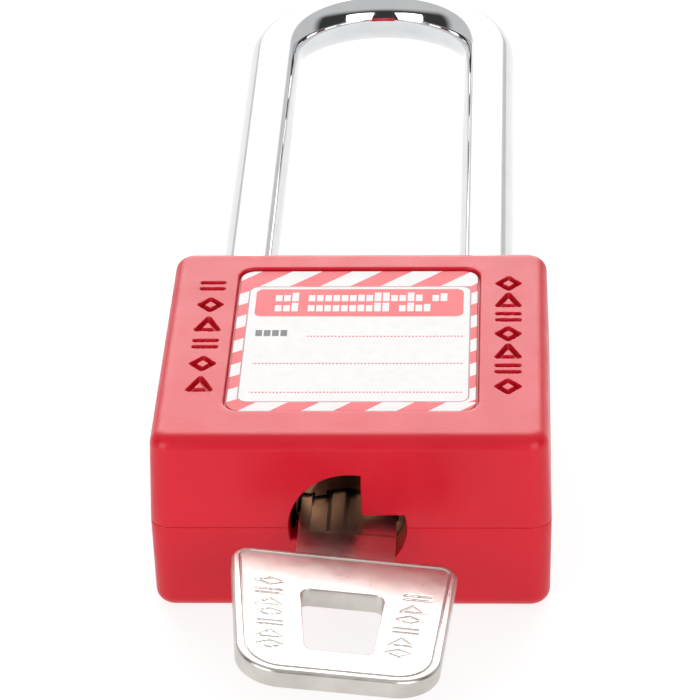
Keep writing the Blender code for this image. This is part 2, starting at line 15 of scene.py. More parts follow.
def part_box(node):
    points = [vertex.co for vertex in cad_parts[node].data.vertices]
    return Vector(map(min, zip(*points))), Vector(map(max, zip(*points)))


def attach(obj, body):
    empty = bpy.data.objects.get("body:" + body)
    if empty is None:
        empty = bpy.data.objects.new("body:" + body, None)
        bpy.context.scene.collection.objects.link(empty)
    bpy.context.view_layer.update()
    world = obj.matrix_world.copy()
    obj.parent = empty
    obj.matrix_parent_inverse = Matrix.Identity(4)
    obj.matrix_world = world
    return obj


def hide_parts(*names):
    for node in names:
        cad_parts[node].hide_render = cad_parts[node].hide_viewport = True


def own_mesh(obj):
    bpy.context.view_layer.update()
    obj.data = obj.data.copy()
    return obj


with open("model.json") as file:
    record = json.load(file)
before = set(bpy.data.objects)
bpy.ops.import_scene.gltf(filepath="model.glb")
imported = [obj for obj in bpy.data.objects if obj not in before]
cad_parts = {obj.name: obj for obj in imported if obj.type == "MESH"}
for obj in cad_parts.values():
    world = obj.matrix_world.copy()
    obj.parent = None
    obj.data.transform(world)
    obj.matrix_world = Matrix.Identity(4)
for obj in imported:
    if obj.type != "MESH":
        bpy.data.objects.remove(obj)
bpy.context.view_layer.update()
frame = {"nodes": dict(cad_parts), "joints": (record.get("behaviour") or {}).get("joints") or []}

MM = 0.001

# ---------------------------------------------------------------- places and sizes read from the frame

JOINTS = {joint["name"]: joint for joint in frame["joints"]}
AXIS_Z = JOINTS["plug_turn"]["pos_m"][2]  # seam, shackle and cylinder all lie in this plane
KEY_TURN = math.radians(-JOINTS["plug_turn"]["range_deg"][0])
LIFT = JOINTS["shackle_lift"]["range_m"][1]
BALL_TRAVEL = JOINTS["ball_right_slide"]["range_m"][1]

front_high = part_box("front_shell")[1]
label_low, label_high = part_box("front_label")
shackle_low, shackle_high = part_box("shackle")
case_low, case_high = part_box("lock_case")
ball_low, ball_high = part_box("locking_ball_right")
pin_low, pin_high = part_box("retaining_pin")
plug_low, plug_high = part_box("plug")
housing_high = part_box("cylinder_housing")[1]

FRONT_Z = front_high.z
HALF_HEIGHT = front_high.y
HALF_WIDTH = round(front_high.x, 4)
ROD_RADIUS = 3.0 * MM
LEG_X = 13.1 * MM
HEEL_Y = shackle_low.y
TOE_Y = 6.1 * MM
BEND_Y = shackle_high.y - ROD_RADIUS - LEG_X
BALL_Y = (ball_low.y + ball_high.y) / 2
BALL_RADIUS = (ball_high.y - ball_low.y) / 2
BALL_OUT_X = (ball_low.x + ball_high.x) / 2 + BALL_TRAVEL
PIN_Y = (pin_low.y + pin_high.y) / 2
PIN_X = -(pin_low.x + pin_high.x) / 2
PIN_RADIUS = (pin_high.y - pin_low.y) / 2

# ---------------------------------------------------------------- sizes of the visible forms

FRONT_DRAFT = math.radians(2.0)
REAR_DRAFT = math.radians(1.0)
CORNER_RADIUS = 2.0 * MM
EDGE_RADIUS = 1.5 * MM
SEAM_LIP = 0.07 * MM
SEAM_HALF = 0.01 * MM
CAVITY = (17.9 * MM, 16.8 * MM)
TONGUE = 0.8 * MM
TONGUE_HEIGHT = 1.2 * MM
RECESS_LIP = 0.22 * MM
RECESS_MARGIN = 0.25 * MM
RECESS_CORNER = 1.8 * MM
HOLE_GAP = 0.3 * MM
HOLE_LIP = 0.35 * MM
KEYHOLE_RADII = (6.1 * MM, 5.55 * MM)  # of its upper and its lower quarter
KEYHOLE_SLOTS = (1.1 * MM, 1.4 * MM)  # half the upright and the level slot
KEYHOLE_LIP = 0.22 * MM
BOSS_RADIUS = 5.8 * MM
BOSS_GAP = 0.2 * MM
CLOSING_INSET = 4 * MM  # how far in the last ring of a hollow or a hidden face lies
OVERRUN = 0.4 * MM  # how far a cutter stands out of the face that it cuts

MARK_DEPTH = 0.62 * MM
MARK_HALF = 0.27 * MM
MARK_WALL = 0.10 * MM
MARK_WIDTH = 2.1 * MM
MARK_HEIGHT = 2.3 * MM
LEFT_MARKS = ((-15.3 * MM, 11.4 * MM), (-15.3 * MM, -8.4 * MM), 6)  # first and last middle, how many
RIGHT_MARKS = ((15.65 * MM, 11.8 * MM), (15.65 * MM, -8.9 * MM), 7)
KEY_LEFT_MARKS = ((-7.5 * MM, -30.9 * MM), (-6.85 * MM, -41.4 * MM), 7)
KEY_RIGHT_MARKS = ((6.9 * MM, -31.6 * MM), (5.3 * MM, -41.0 * MM), 6)

HEAD_THICK = 2.1 * MM
HEAD_TOP = -25.4 * MM
HEAD_END = -45.6 * MM
HEAD_HALF_TOP = 11.2 * MM
HEAD_HALF_END = 9.4 * MM
HEAD_OFFSET = -0.3 * MM
HEAD_CORNERS = (1.8 * MM, 4.5 * MM)
HEAD_EDGE = 0.38 * MM
RING_HOLE_Y = (-31.8 * MM, -41.7 * MM)
RING_HOLE_HALF = (4.1 * MM, 3.25 * MM)
RING_HOLE_CORNER = 0.9 * MM
HEAD_FIELD = 1.7 * MM  # from the head's edge in to the field that the marks are stamped on
BORDER_INSET = 0.85 * MM
BORDER_HALF = 0.16 * MM
BORDER_DEPTH = 0.10 * MM
KEY_LEFT_MARK = (2.5 * MM, 1.1 * MM)
KEY_RIGHT_MARK = (2.4 * MM, 1.2 * MM)
KEY_MARK_HALF = 0.10 * MM
KEY_MARK_WALL = 0.14 * MM
KEY_MARK_DEPTH = 0.09 * MM
BLADE_HALF = 4.85 * MM
BLADE_HALF_THICK = 0.92 * MM
BLADE_TIP = 4.6 * MM
BLADE_OFFSET = -0.3 * MM
GROOVE_END = -21.5 * MM
GROOVE_RUN_OUT = 0.5 * MM
FIRST_PIN_Y = -13.0 * MM
PIN_PITCH = 3.1 * MM
CUTS = (0.9, 0.9, 1.4, 1.4, 1.8, 2.3)

ROOM_LIGHT = 0.72  # the world's strength in most directions
SCREEN_LIGHT = 4.5  # towards the screen behind the padlock
DARK_SIDE = 0.07  # share of the room's light that is left round the camera
SOFTBOX_POWER = 3.5  # watts
FLOOR_PAINT = 0.25
FLOOR_GLOW = 0.80


# ---------------------------------------------------------------- meshes from arrays


def mesh_object(name, points, faces, finish, sharp_degrees=32):
    """An object at the origin whose mesh has these points and faces, smooth but for its sharp edges."""
    mesh = bpy.data.meshes.new(name)
    mesh.from_pydata(np.asarray(points, float).reshape(-1, 3).tolist(), [], faces)
    mesh.validate()
    mesh.update()
    mesh.shade_smooth()
    mesh.set_sharp_from_angle(angle=math.radians(sharp_degrees))
    made = bpy.data.objects.new(name, mesh)
    made.data.materials.append(finish)
    bpy.context.scene.collection.objects.link(made)
    return made


def strip_faces(rows, columns):
    """Quads between neighbouring rows of a grid whose columns run round and meet themselves."""
    row, column = np.meshgrid(np.arange(rows - 1), np.arange(columns), indexing="ij")
    following = (column + 1) % columns
    corners = (
        row * columns + column,
        row * columns + following,
        (row + 1) * columns + following,
        (row + 1) * columns + column,
    )
    return np.stack(corners, axis=-1).reshape(-1, 4)


def holds_volume(points, quads):
    """Whether the quads of a surface point outwards: the volumes of the tetrahedra between them and the
    middle add up to more than nothing."""
    points = points - points.mean(axis=0)
    triangles = np.concatenate([quads[:, :3], quads[:, [0, 2, 3]]])
    first, second, third = (points[triangles[:, i]] for i in range(3))
    return np.einsum("ij,ij->", first, np.cross(second, third)) > 0


def closed_loft(name, rings, finish, sharp_degrees=32):
    """Rings of points, (rows, columns, 3), joined one to the next and closed at both ends by one face."""
    rows, columns, _ = rings.shape
    points = rings.reshape(-1, 3)
    quads = strip_faces(rows, columns)
    low_end = np.arange(columns)[::-1]
    high_end = np.arange(columns) + (rows - 1) * columns
    if not holds_volume(points, quads):
        quads, low_end, high_end = quads[:, ::-1], low_end[::-1], high_end[::-1]
    return mesh_object(name, points, quads.tolist() + [low_end.tolist(), high_end.tolist()], finish,
                       sharp_degrees)


def closed_band(name, rings, finish, sharp_degrees=32):
    """Rings joined one to the next, and the last to the first, as on a piece with a hole through it."""
    rows, columns, _ = rings.shape
    points = rings.reshape(-1, 3)
    quads = strip_faces(rows + 1, columns) % (rows * columns)
    if not holds_volume(points, quads):
        quads = quads[:, ::-1]
    return mesh_object(name, points, quads.tolist(), finish, sharp_degrees)


def combined(piece, helpers, operation):
    """The piece after a Boolean with each helper, whose objects are then removed."""
    for helper in helpers:
        modifier = piece.modifiers.new("cut", "BOOLEAN")
        modifier.operation = operation
        modifier.solver = "EXACT"
        modifier.object = helper
    evaluated = piece.evaluated_get(bpy.context.evaluated_depsgraph_get())
    result = bpy.data.meshes.new_from_object(evaluated)
    piece.modifiers.clear()
    piece.data = result
    for helper in helpers:
        bpy.data.objects.remove(helper, do_unlink=True)
    return piece


def rounded_outline(corners, radii, arc_steps, side_steps):
    """Points round a convex four-cornered outline whose corners are arcs.

    At each corner the arc's middle lies on the bisector, radius / sin(half the corner's angle) away, and
    touches both sides. Every outline made with the same steps has its points in the same order.
    """
    corners = np.asarray(corners, float)
    arcs = []
    for i, radius in enumerate(radii):
        before = corners[i - 1] - corners[i]
        after = corners[(i + 1) % 4] - corners[i]
        before /= np.linalg.norm(before)
        after /= np.linalg.norm(after)
        half = math.acos(np.clip(before @ after, -1, 1)) / 2
        bisector = (before + after) / np.linalg.norm(before + after)
        middle = corners[i] + bisector * radius / math.sin(half)
        reach = math.pi / 2 - half
        angles = np.linspace(-reach, reach, arc_steps + 1)[:, None]
        turned_left = np.array([-bisector[1], bisector[0]])
        side = math.copysign(1, turned_left @ after)
        spokes = -bisector * np.cos(angles) + side * turned_left * np.sin(angles)
        arcs.append(middle + radius * spokes)
    pieces = []
    for i, arc in enumerate(arcs):
        pieces.append(arc)
        share = np.linspace(0, 1, side_steps[i] + 2)[1:-1, None]
        pieces.append(arc[-1] + share * (arcs[(i + 1) % 4][0] - arc[-1]))
    return np.vstack(pieces)


def rounded_rectangle(half_x, half_y, radius, arc_steps, side_steps, centre_y=0.0):
    """A rectangle with round corners, from its top right corner anticlockwise."""
    corners = [
        (half_x, centre_y + half_y),
        (-half_x, centre_y + half_y),
        (-half_x, centre_y - half_y),
        (half_x, centre_y - half_y),
    ]
    return rounded_outline(corners, [radius] * 4, arc_steps, side_steps)


def raised(outline, z):
    """The flat outline at a height, which may differ from point to point."""
    return np.column_stack([outline, np.broadcast_to(z, len(outline))])


# ---------------------------------------------------------------- engraved marks


def segment_distance(x, y, start, end):
    """Distance of each point from a straight stroke between two points."""
    (x0, y0), (x1, y1) = start, end
    dx, dy = x1 - x0, y1 - y0
    share = np.clip(((x - x0) * dx + (y - y0) * dy) / (dx * dx + dy * dy), 0, 1)
    return np.hypot(x - x0 - share * dx, y - y0 - share * dy)


def lozenge(cx, cy, w, h):
    tips = [(cx, cy + h), (cx + w, cy), (cx, cy - h), (cx - w, cy)]
    return [(tips[i], tips[(i + 1) % 4]) for i in range(4)]


def double_bar(cx, cy, w, h):
    return [((cx - w, cy + s * h * 0.55), (cx + w, cy + s * h * 0.55)) for s in (-1, 1)]


def warning_triangle(cx, cy, w, h):
    tips = [(cx, cy + h), (cx + w, cy - h), (cx - w, cy - h)]
    return [(tips[i], tips[(i + 1) % 3]) for i in range(3)]


def column_of_marks(column, shapes, width, height):
    """The strokes of a column of plain geometric marks, which take turns."""
    first, last, count = column
    strokes = []
    for i, (x, y) in enumerate(np.linspace(first, last, count)):
        strokes += shapes[i % len(shapes)](x, y, width / 2, height / 2)
    return strokes


def groove_depth(x, y, strokes, half, wall):
    """How deep the grooves are, from 0 outside them to 1 on their floor: the wall falls smoothly over a
    short width round every stroke."""
    nearest = np.full(np.shape(x), np.inf)
    for start, end in strokes:
        nearest = np.minimum(nearest, segment_distance(x, y, start, end))
    share = np.clip((half + wall / 2 - nearest) / wall, 0, 1)
    return share * share * (3 - 2 * share)


# ---------------------------------------------------------------- body


def shell_skin(height, draft, arc_steps, side_steps):
    """Rings from the seam to the end of the round edge of one half of the body.

    The seam has a small quarter-round lip, the wall leans in by the draft, and the edge is a quarter
    circle. The height is signed, and is measured from the seam plane.
    """
    sign = math.copysign(1, height)
    rise = abs(height) - EDGE_RADIUS
    lean = math.tan(draft)
    rings = []
    for angle in np.radians([0, 18, 40, 65, 90]):
        back = SEAM_LIP * (1 - math.sin(angle))
        z = SEAM_HALF + SEAM_LIP * (1 - math.cos(angle))
        outline = rounded_rectangle(
            HALF_WIDTH - z * lean - back, HALF_HEIGHT - back, CORNER_RADIUS - back, arc_steps, side_steps
        )
        rings.append(raised(outline, AXIS_Z + sign * z))
    for z in np.linspace(SEAM_HALF + SEAM_LIP, rise, 5)[1:]:
        outline = rounded_rectangle(HALF_WIDTH - z * lean, HALF_HEIGHT, CORNER_RADIUS, arc_steps, side_steps)
        rings.append(raised(outline, AXIS_Z + sign * z))
    for angle in np.radians(np.linspace(0, 90, 13))[1:]:
        sunk = EDGE_RADIUS * (1 - math.cos(angle))
        outline = rounded_rectangle(
            HALF_WIDTH - rise * lean - sunk,
            HALF_HEIGHT - sunk,
            CORNER_RADIUS - 0.9 * sunk,
            arc_steps,
            side_steps,
        )
        rings.append(raised(outline, AXIS_Z + sign * (rise + EDGE_RADIUS * math.sin(angle))))
    return rings


def body_front(finish):
    """Front half: cavity, rebate, seam, outer skin, flat face with its engraved columns, and recess."""
    arc_steps, side_steps = 12, (44, 250, 44, 250)
    inside = dict(arc_steps=arc_steps, side_steps=side_steps)
    rebate = TONGUE + HOLE_GAP
    rings = []
    for half_extra, z in (
        (-CLOSING_INSET, case_high.z + HOLE_GAP),
        (0, case_high.z + HOLE_GAP),
        (0, AXIS_Z + TONGUE_HEIGHT + HOLE_GAP),
        (rebate, AXIS_Z + TONGUE_HEIGHT + HOLE_GAP),
        (rebate, AXIS_Z + SEAM_HALF),
    ):
        outline = rounded_rectangle(
            CAVITY[0] + half_extra, CAVITY[1] + half_extra, max(0.6 * MM, half_extra), **inside
        )
        rings.append(raised(outline, z))
    rings += shell_skin(FRONT_Z - AXIS_Z, FRONT_DRAFT, arc_steps, side_steps)

    recess_half = (
        (label_high.x - label_low.x) / 2 + RECESS_MARGIN,
        (label_high.y - label_low.y) / 2 + RECESS_MARGIN,
    )
    recess_y = (label_low.y + label_high.y) / 2
    edge = rings[-1][:, :2]
    mouth = rounded_rectangle(
        recess_half[0] + RECESS_LIP, recess_half[1] + RECESS_LIP, RECESS_CORNER + RECESS_LIP,
        centre_y=recess_y, **inside
    )
    shares = np.concatenate([np.linspace(0, 0.16, 4)[1:], np.linspace(0.16, 0.84, 46)[1:], [0.92, 1.0]])
    marks = [double_bar, lozenge, warning_triangle]
    strokes = column_of_marks(LEFT_MARKS, marks, MARK_WIDTH, MARK_HEIGHT)
    strokes += column_of_marks(RIGHT_MARKS, marks[1:] + marks[:1], MARK_WIDTH, MARK_HEIGHT)
    for share in shares:
        outline = edge + share * (mouth - edge)
        depth = groove_depth(outline[:, 0], outline[:, 1], strokes, MARK_HALF, MARK_WALL)
        rings.append(raised(outline, FRONT_Z - MARK_DEPTH * depth))

    for angle in np.radians([25, 50, 75, 90]):
        out = RECESS_LIP * (1 - math.sin(angle))
        outline = rounded_rectangle(
            recess_half[0] + out, recess_half[1] + out, RECESS_CORNER + out, centre_y=recess_y, **inside
        )
        rings.append(raised(outline, FRONT_Z - RECESS_LIP * (1 - math.cos(angle))))
    floor = label_low.z - 0.1 * MM
    for inset, z in ((0, floor + 0.06 * MM), (0.06 * MM, floor), (3 * MM, floor)):
        outline = rounded_rectangle(
            recess_half[0] - inset, recess_half[1] - inset, max(RECESS_CORNER - inset, 0.3 * MM),
            centre_y=recess_y, **inside
        )
        rings.append(raised(outline, z))
    return closed_loft("body_front", np.array(rings), finish)


def body_rear(finish):
    """Rear half: cavity, locating tongue, seam, outer skin and plain back."""
    arc_steps, side_steps = 12, (44, 44, 44, 44)
    rings = []
    for half_extra, z in (
        (-CLOSING_INSET, case_low.z - HOLE_GAP),
        (0, case_low.z - HOLE_GAP),
        (0, AXIS_Z + TONGUE_HEIGHT),
        (TONGUE, AXIS_Z + TONGUE_HEIGHT),
        (TONGUE, AXIS_Z - SEAM_HALF),
    ):
        outline = rounded_rectangle(
            CAVITY[0] + half_extra, CAVITY[1] + half_extra, max(0.6 * MM, half_extra), arc_steps, side_steps
        )
        rings.append(raised(outline, z))
    rings += shell_skin(-AXIS_Z, REAR_DRAFT, arc_steps, side_steps)
    last = rings[-1]
    rings.append(last * (0.8, 0.8, 1.0))
    return closed_loft("body_rear", np.array(rings), finish)


def shackle_hole(name, x, finish):
    """Cutter for a shackle hole: a round bar that opens out in a quarter-round lip at the top face."""
    angles = np.radians(np.arange(72) * 5.0)
    radius = ROD_RADIUS + HOLE_GAP
    rings = [(radius, case_high.y - 3 * MM), (radius, HALF_HEIGHT - HOLE_LIP)]
    for turn in np.radians([70, 50, 32]):
        lip = radius + HOLE_LIP * (1 - math.sin(turn))
        rings.append((lip, HALF_HEIGHT - HOLE_LIP * (1 - math.cos(turn))))
    rings.append((radius + HOLE_LIP * 1.3, HALF_HEIGHT + OVERRUN))
    points = np.array([
        np.column_stack([x + r * np.cos(angles), np.full(72, y), AXIS_Z + r * np.sin(angles)])
        for r, y in rings
    ])
    return closed_loft(name, points, finish)


def keyhole_outline(spread):
    """The keyhole as (x, z): two opposite quarters of discs, between a level and an upright slot.

    The spread moves every edge outwards by that distance.
    """
    upright, level = (slot + spread for slot in KEYHOLE_SLOTS)
    rounding = 0.35 * MM - spread
    turn = np.radians(np.linspace(270, 180, 7))
    corner = np.column_stack([
        upright + rounding + rounding * np.cos(turn),
        level + rounding + rounding * np.sin(turn),
    ])
    halves = []
    for side, radius in zip((1, -1), KEYHOLE_RADII):
        radius += spread
        start = math.acos(upright / radius)
        angles = np.linspace(start, math.pi + math.asin(level / radius), 45)
        quarter = radius * np.column_stack([np.cos(angles), np.sin(angles)])
        halves += [side * corner, side * quarter]
    return np.vstack(halves)


def keyhole_cutter(name, finish):
    """The keyhole through the bottom wall, with a small round lip at the bottom face."""
    rings = []
    steps = [(KEYHOLE_LIP * 1.25, -HALF_HEIGHT - OVERRUN)]
    for turn in np.radians([32, 50, 70]):
        lip = KEYHOLE_LIP * (1 - math.sin(turn))
        steps.append((lip, -HALF_HEIGHT + KEYHOLE_LIP * (1 - math.cos(turn))))
    steps += [(0, -HALF_HEIGHT + KEYHOLE_LIP), (0, plug_low.y)]
    for spread, y in steps:
        outline = keyhole_outline(spread)
        rings.append(np.column_stack([outline[:, 0], np.full(len(outline), y), AXIS_Z + outline[:, 1]]))
    return closed_loft(name, np.array(rings), finish)


def keyhole_boss(side, finish):
    """Half a disc inside the bottom wall, which reaches in to just short of the plug. The keyhole cutter
    leaves a quarter of it beside the keyhole."""
    angles = np.radians(np.linspace(0, 180, 61))
    across = BOSS_RADIUS * np.cos(angles)
    up = AXIS_Z + side * np.maximum(BOSS_RADIUS * np.sin(angles), KEYHOLE_SLOTS[0] / 2)
    rings = np.array([
        np.column_stack([across, np.full(len(across), y), up])
        for y in (-HALF_HEIGHT + 1 * MM, plug_low.y - BOSS_GAP)
    ])
    return closed_loft("keyhole_boss", rings, finish)


def make_body(finish):
    for build, side in ((body_front, 1), (body_rear, -1)):
        shell = combined(build(finish), [keyhole_boss(side, finish)], "UNION")
        cutters = [
            shackle_hole("heel_hole", -LEG_X, finish),
            shackle_hole("toe_hole", LEG_X, finish),
            keyhole_cutter("keyhole", finish),
        ]
        combined(shell, cutters, "DIFFERENCE")
        shell.data.shade_smooth()
        shell.data.set_sharp_from_angle(angle=math.radians(32))
        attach(shell, "body")
        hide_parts("front_shell" if build is body_front else "rear_shell")


# ---------------------------------------------------------------- label


def make_label(finish):
    """The sticker: a thin sheet with round corners, whose rim curls up a little and whose middle is very
    slightly wavy."""
    half_x, half_y = (label_high.x - label_low.x) / 2, (label_high.y - label_low.y) / 2
    centre_y = (label_high.y + label_low.y) / 2
    corner = RECESS_CORNER - RECESS_MARGIN
    arc_steps, side_steps = 10, (40, 40, 40, 40)
    round_edge = 0.04 * MM
    rings = []
    for inset, z in (
        (CLOSING_INSET, label_low.z),
        (round_edge, label_low.z),
        (0, label_low.z + round_edge),
        (0, label_high.z - round_edge),
        (round_edge, label_high.z),
    ):
        outline = rounded_rectangle(
            half_x - inset, half_y - inset, max(corner - inset, 0.3 * MM), arc_steps, side_steps, centre_y
        )
        rings.append(raised(outline, z))
    rim = rings[-1][:, :2]
    for share in np.linspace(0, 0.96, 25)[1:]:
        outline = (rim - (0, centre_y)) * (1 - share) + (0, centre_y)
        wave = np.sin(outline[:, 0] * 260 + 0.6) * np.cos(outline[:, 1] * 210 - 0.4)
        settled = 1 - (1 - share) ** 6
        rings.append(raised(outline, label_high.z - 0.012 * MM * settled * (1 + wave)))
    label = closed_loft("printed_label", np.array(rings), finish)
    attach(label, "body")
    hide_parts("front_label")


# ---------------------------------------------------------------- shackle


def shackle_radius(y, inward, on_heel):
    """The rod's radius at a place along a leg, in the direction whose part towards the loop is given.

    It is the smallest of the round rod, the ball's notch, and on the long leg the turned necks and the
    milled flat. A flat or notch at a distance d from the axis cuts the radius to d / inward.
    """
    facing = np.maximum(inward, 1e-6)
    radius = np.full(np.broadcast(y, inward).shape, ROD_RADIUS)
    notch = BALL_RADIUS + HOLE_GAP
    notch_x = LEG_X - BALL_OUT_X
    across = notch**2 - (y - BALL_Y) ** 2
    cut = np.where(across > 0, (notch_x - np.sqrt(np.maximum(across, 0))) / facing, np.inf)
    radius = np.minimum(radius, np.where(inward > 0, cut, np.inf))
    if on_heel:
        neck = notch_x - notch - 0.2 * MM + HOLE_GAP
        neck_half = 2.4 * MM
        radius = np.where(np.abs(y - BALL_Y + LIFT) < neck_half, np.minimum(radius, neck), radius)
        flat = LEG_X - PIN_X - PIN_RADIUS - HOLE_GAP
        room = PIN_RADIUS + HOLE_GAP
        low, high = PIN_Y - LIFT - room, PIN_Y + room
        milled = (y > low) & (y < high) & (inward > 0)
        radius = np.where(milled, np.minimum(radius, flat / facing), radius)
        radius = np.where((y > low) & (y < low + 2 * room), np.minimum(radius, flat), radius)
    return radius


def make_shackle(finish):
    """A rod carried up the long leg, round the bow and down the short leg.

    Its middle line is two straight legs and a half circle. At each place the point at an angle round the
    rod is the middle + radius * (cos(angle) * outwards + sin(angle) * up).
    """
    sides = 72
    angles = 2 * np.pi * (np.arange(sides) + 0.5) / sides
    fine, rounding, worked = 0.12 * MM, 0.6 * MM, 14.2 * MM
    heel_y = np.concatenate([
        HEEL_Y + rounding * (1 - np.cos(np.radians([25, 50, 75]))),
        np.arange(HEEL_Y + rounding, worked, fine),
        np.linspace(worked + 0.8 * MM, BEND_Y, 24),
    ])
    bend = np.linspace(0, np.pi, 97)[1:-1]
    toe_y = np.concatenate([
        np.linspace(BEND_Y, worked + 0.8 * MM, 24),
        np.arange(worked, TOE_Y + rounding, -fine),
        TOE_Y + rounding * (1 - np.cos(np.radians([75, 50, 25]))),
    ])
    inward = -np.cos(angles)[None, :]
    rings = []
    for leg_y, sign, end in ((heel_y, -1, HEEL_Y), (toe_y, 1, TOE_Y)):
        radius = shackle_radius(leg_y[:, None], inward, sign < 0)
        into_end = np.clip((end + rounding - leg_y) / rounding, 0, 1)
        radius = radius - (rounding * (1 - np.sqrt(1 - into_end**2)))[:, None]
        leg = np.stack([
            sign * (LEG_X + radius * np.cos(angles)),
            np.broadcast_to(leg_y[:, None], radius.shape),
            AXIS_Z + radius * np.sin(angles),
        ], axis=-1)
        rings.append(leg)
    reach = LEG_X + ROD_RADIUS * np.cos(angles)[None, :]
    bow = np.stack([
        -reach * np.cos(bend)[:, None],
        BEND_Y + reach * np.sin(bend)[:, None],
        np.broadcast_to(AXIS_Z + ROD_RADIUS * np.sin(angles), (len(bend), sides)),
    ], axis=-1)
    points = np.concatenate([rings[0], bow, rings[1]])
    shackle = closed_loft("shackle_rod", points, finish, 28)
    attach(shackle, "shackle")
    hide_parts("shackle")


# ---------------------------------------------------------------- key


def turned_with_key(points):
    """Points given level, about the cylinder's axis, turned to the key's place."""
    c, s = math.cos(KEY_TURN), math.sin(KEY_TURN)
    x, y, z = points[..., 0], points[..., 1], points[..., 2]
    return np.stack([c * x + s * z, y, AXIS_Z - s * x + c * z], axis=-1)


def head_outline(inset, arc_steps, side_steps):
    """The head's outline, drawn in from its edge by the inset."""
    wide, narrow = HEAD_HALF_TOP - inset, HEAD_HALF_END - inset
    top, end = HEAD_TOP - inset, HEAD_END + inset
    corners = [(wide, top), (-wide, top), (-narrow, end), (narrow, end)]
    tight, large = (max(radius - inset, 0.5 * MM) for radius in HEAD_CORNERS)
    outline = rounded_outline(corners, [tight, tight, large, large], arc_steps, side_steps)
    return outline + (HEAD_OFFSET, 0)


def ring_hole_outline(spread, arc_steps, side_steps):
    wide, narrow = (half + spread for half in RING_HOLE_HALF)
    near, far = RING_HOLE_Y[0] + spread, RING_HOLE_Y[1] - spread
    corners = [(wide, near), (-wide, near), (-narrow, far), (narrow, far)]
    outline = rounded_outline(corners, [RING_HOLE_CORNER + spread] * 4, arc_steps, side_steps)
    return outline + (HEAD_OFFSET, 0)


def key_head(finish):
    """The head as a closed band: up the hole's wall, out over the top with its coined border and stamped
    marks, round the edge, and back in under the bottom."""
    steps = dict(arc_steps=24, side_steps=(50, 110, 50, 110))
    half = HEAD_THICK / 2
    lip = 0.15 * MM
    marks = [lozenge, double_bar, warning_triangle]
    strokes = column_of_marks(KEY_LEFT_MARKS, marks, *KEY_LEFT_MARK)
    strokes += column_of_marks(KEY_RIGHT_MARKS, marks[1:] + marks[:1], *KEY_RIGHT_MARK)

    def relief(outline, insets):
        """Depth below the flat face: the border line, and the stamped marks."""
        border = np.clip(1 - np.abs(insets - BORDER_INSET) / BORDER_HALF, 0, 1)
        border = border * border * (3 - 2 * border)
        stamped = groove_depth(outline[:, 0], outline[:, 1], strokes, KEY_MARK_HALF, KEY_MARK_WALL)
        return BORDER_DEPTH * border + KEY_MARK_DEPTH * stamped

    top = []
    for angle in np.radians([0, 45, 90]):
        outline = ring_hole_outline(lip * (1 - math.cos(angle)), **steps)
        top.append((outline, half - lip + lip * math.sin(angle)))
    inner = ring_hole_outline(lip, **steps)
    outer = head_outline(HEAD_FIELD, **steps)
    for share in np.linspace(0, 1, 48)[1:]:
        outline = inner + share * (outer - inner)
        top.append((outline, half - relief(outline, np.full(len(outline), HEAD_FIELD))))
    for inset in np.linspace(HEAD_FIELD, HEAD_EDGE, 18)[1:]:
        outline = head_outline(inset, **steps)
        top.append((outline, half - relief(outline, np.full(len(outline), inset))))
    for angle in np.radians(np.linspace(90, 0, 8))[1:]:
        outline = head_outline(HEAD_EDGE * (1 - math.cos(angle)), **steps)
        top.append((outline, half - HEAD_EDGE * (1 - math.sin(angle))))
    rings = [raised(outline, z) for outline, z in top]
    rings += [raised(outline, -np.asarray(z)) for outline, z in reversed(top)]
    return closed_band("key_head", turned_with_key(np.array(rings)), finish)


def blade_section():
    """Half the blade's section for each side: x, and how deep the grooves are cut there."""
    b, e = BLADE_HALF, 0.12 * MM
    top = [
        (b, e), (b - e, 0), (3.0 * MM, 0), (0.02 * MM, 0.42 * MM), (-0.42 * MM, 0), (-1.7 * MM, 0),
        (-2.1 * MM, 0.5 * MM), (-3.66 * MM, 0.5 * MM), (-3.74 * MM, 0), (-b + e, 0), (-b, e),
    ]
    bottom = [
        (-b, e), (-b + e, 0), (-3.25 * MM, 0), (-3.2 * MM, 0.5 * MM), (-1.6 * MM, 0.5 * MM), (-1.55 * MM, 0),
        (b - e, 0), (b, e),
    ]
    return np.array(top), np.array(bottom)


def blade_edges(y):
    """The blade's cut edge and back edge at a place along it, as x. The cut edge is a stair that is
    joined by slopes, and both edges run in to a blunt tip."""
    flat = 0.55 * MM
    pin_y = [FIRST_PIN_Y + PIN_PITCH * i for i in range(len(CUTS))]
    places = [HEAD_TOP - 2 * MM, FIRST_PIN_Y - 1.75 * MM]
    edges = [BLADE_HALF, BLADE_HALF]
    for place, cut in zip(pin_y, CUTS):
        places += [place - flat, place + flat]
        edges += [BLADE_HALF - cut * MM] * 2
    places.append(BLADE_TIP)
    edges.append(1.35 * MM)
    cut_edge = np.interp(y, places, edges)
    back_edge = -BLADE_HALF + np.clip((y - BLADE_TIP + 2.4 * MM) * 1.25, 0, None)
    return cut_edge, np.minimum(back_edge, -1.65 * MM)


def key_blade(finish):
    """The section carried along the cylinder's axis, and clipped between the two edges.

    A groove's depth is that of the section times a smooth step along the blade, so it runs out short of
    the head.
    """
    y = np.concatenate([[HEAD_TOP - 1.2 * MM], np.linspace(HEAD_TOP + 0.4 * MM, BLADE_TIP, 240)])
    share = np.clip((y - GROOVE_END) / GROOVE_RUN_OUT, 0, 1)
    grown = share * share * (3 - 2 * share)
    cut_edge, back_edge = blade_edges(y)
    sides = []
    for side, half in zip((1, -1), blade_section()):
        x = np.clip(half[None, :, 0], back_edge[:, None], cut_edge[:, None])
        z = side * (BLADE_HALF_THICK - half[None, :, 1] * grown[:, None])
        sides.append(np.stack([x + BLADE_OFFSET, np.broadcast_to(y[:, None], x.shape), z], axis=-1))
    return closed_loft("key_blade", turned_with_key(np.concatenate(sides, axis=1)), finish)


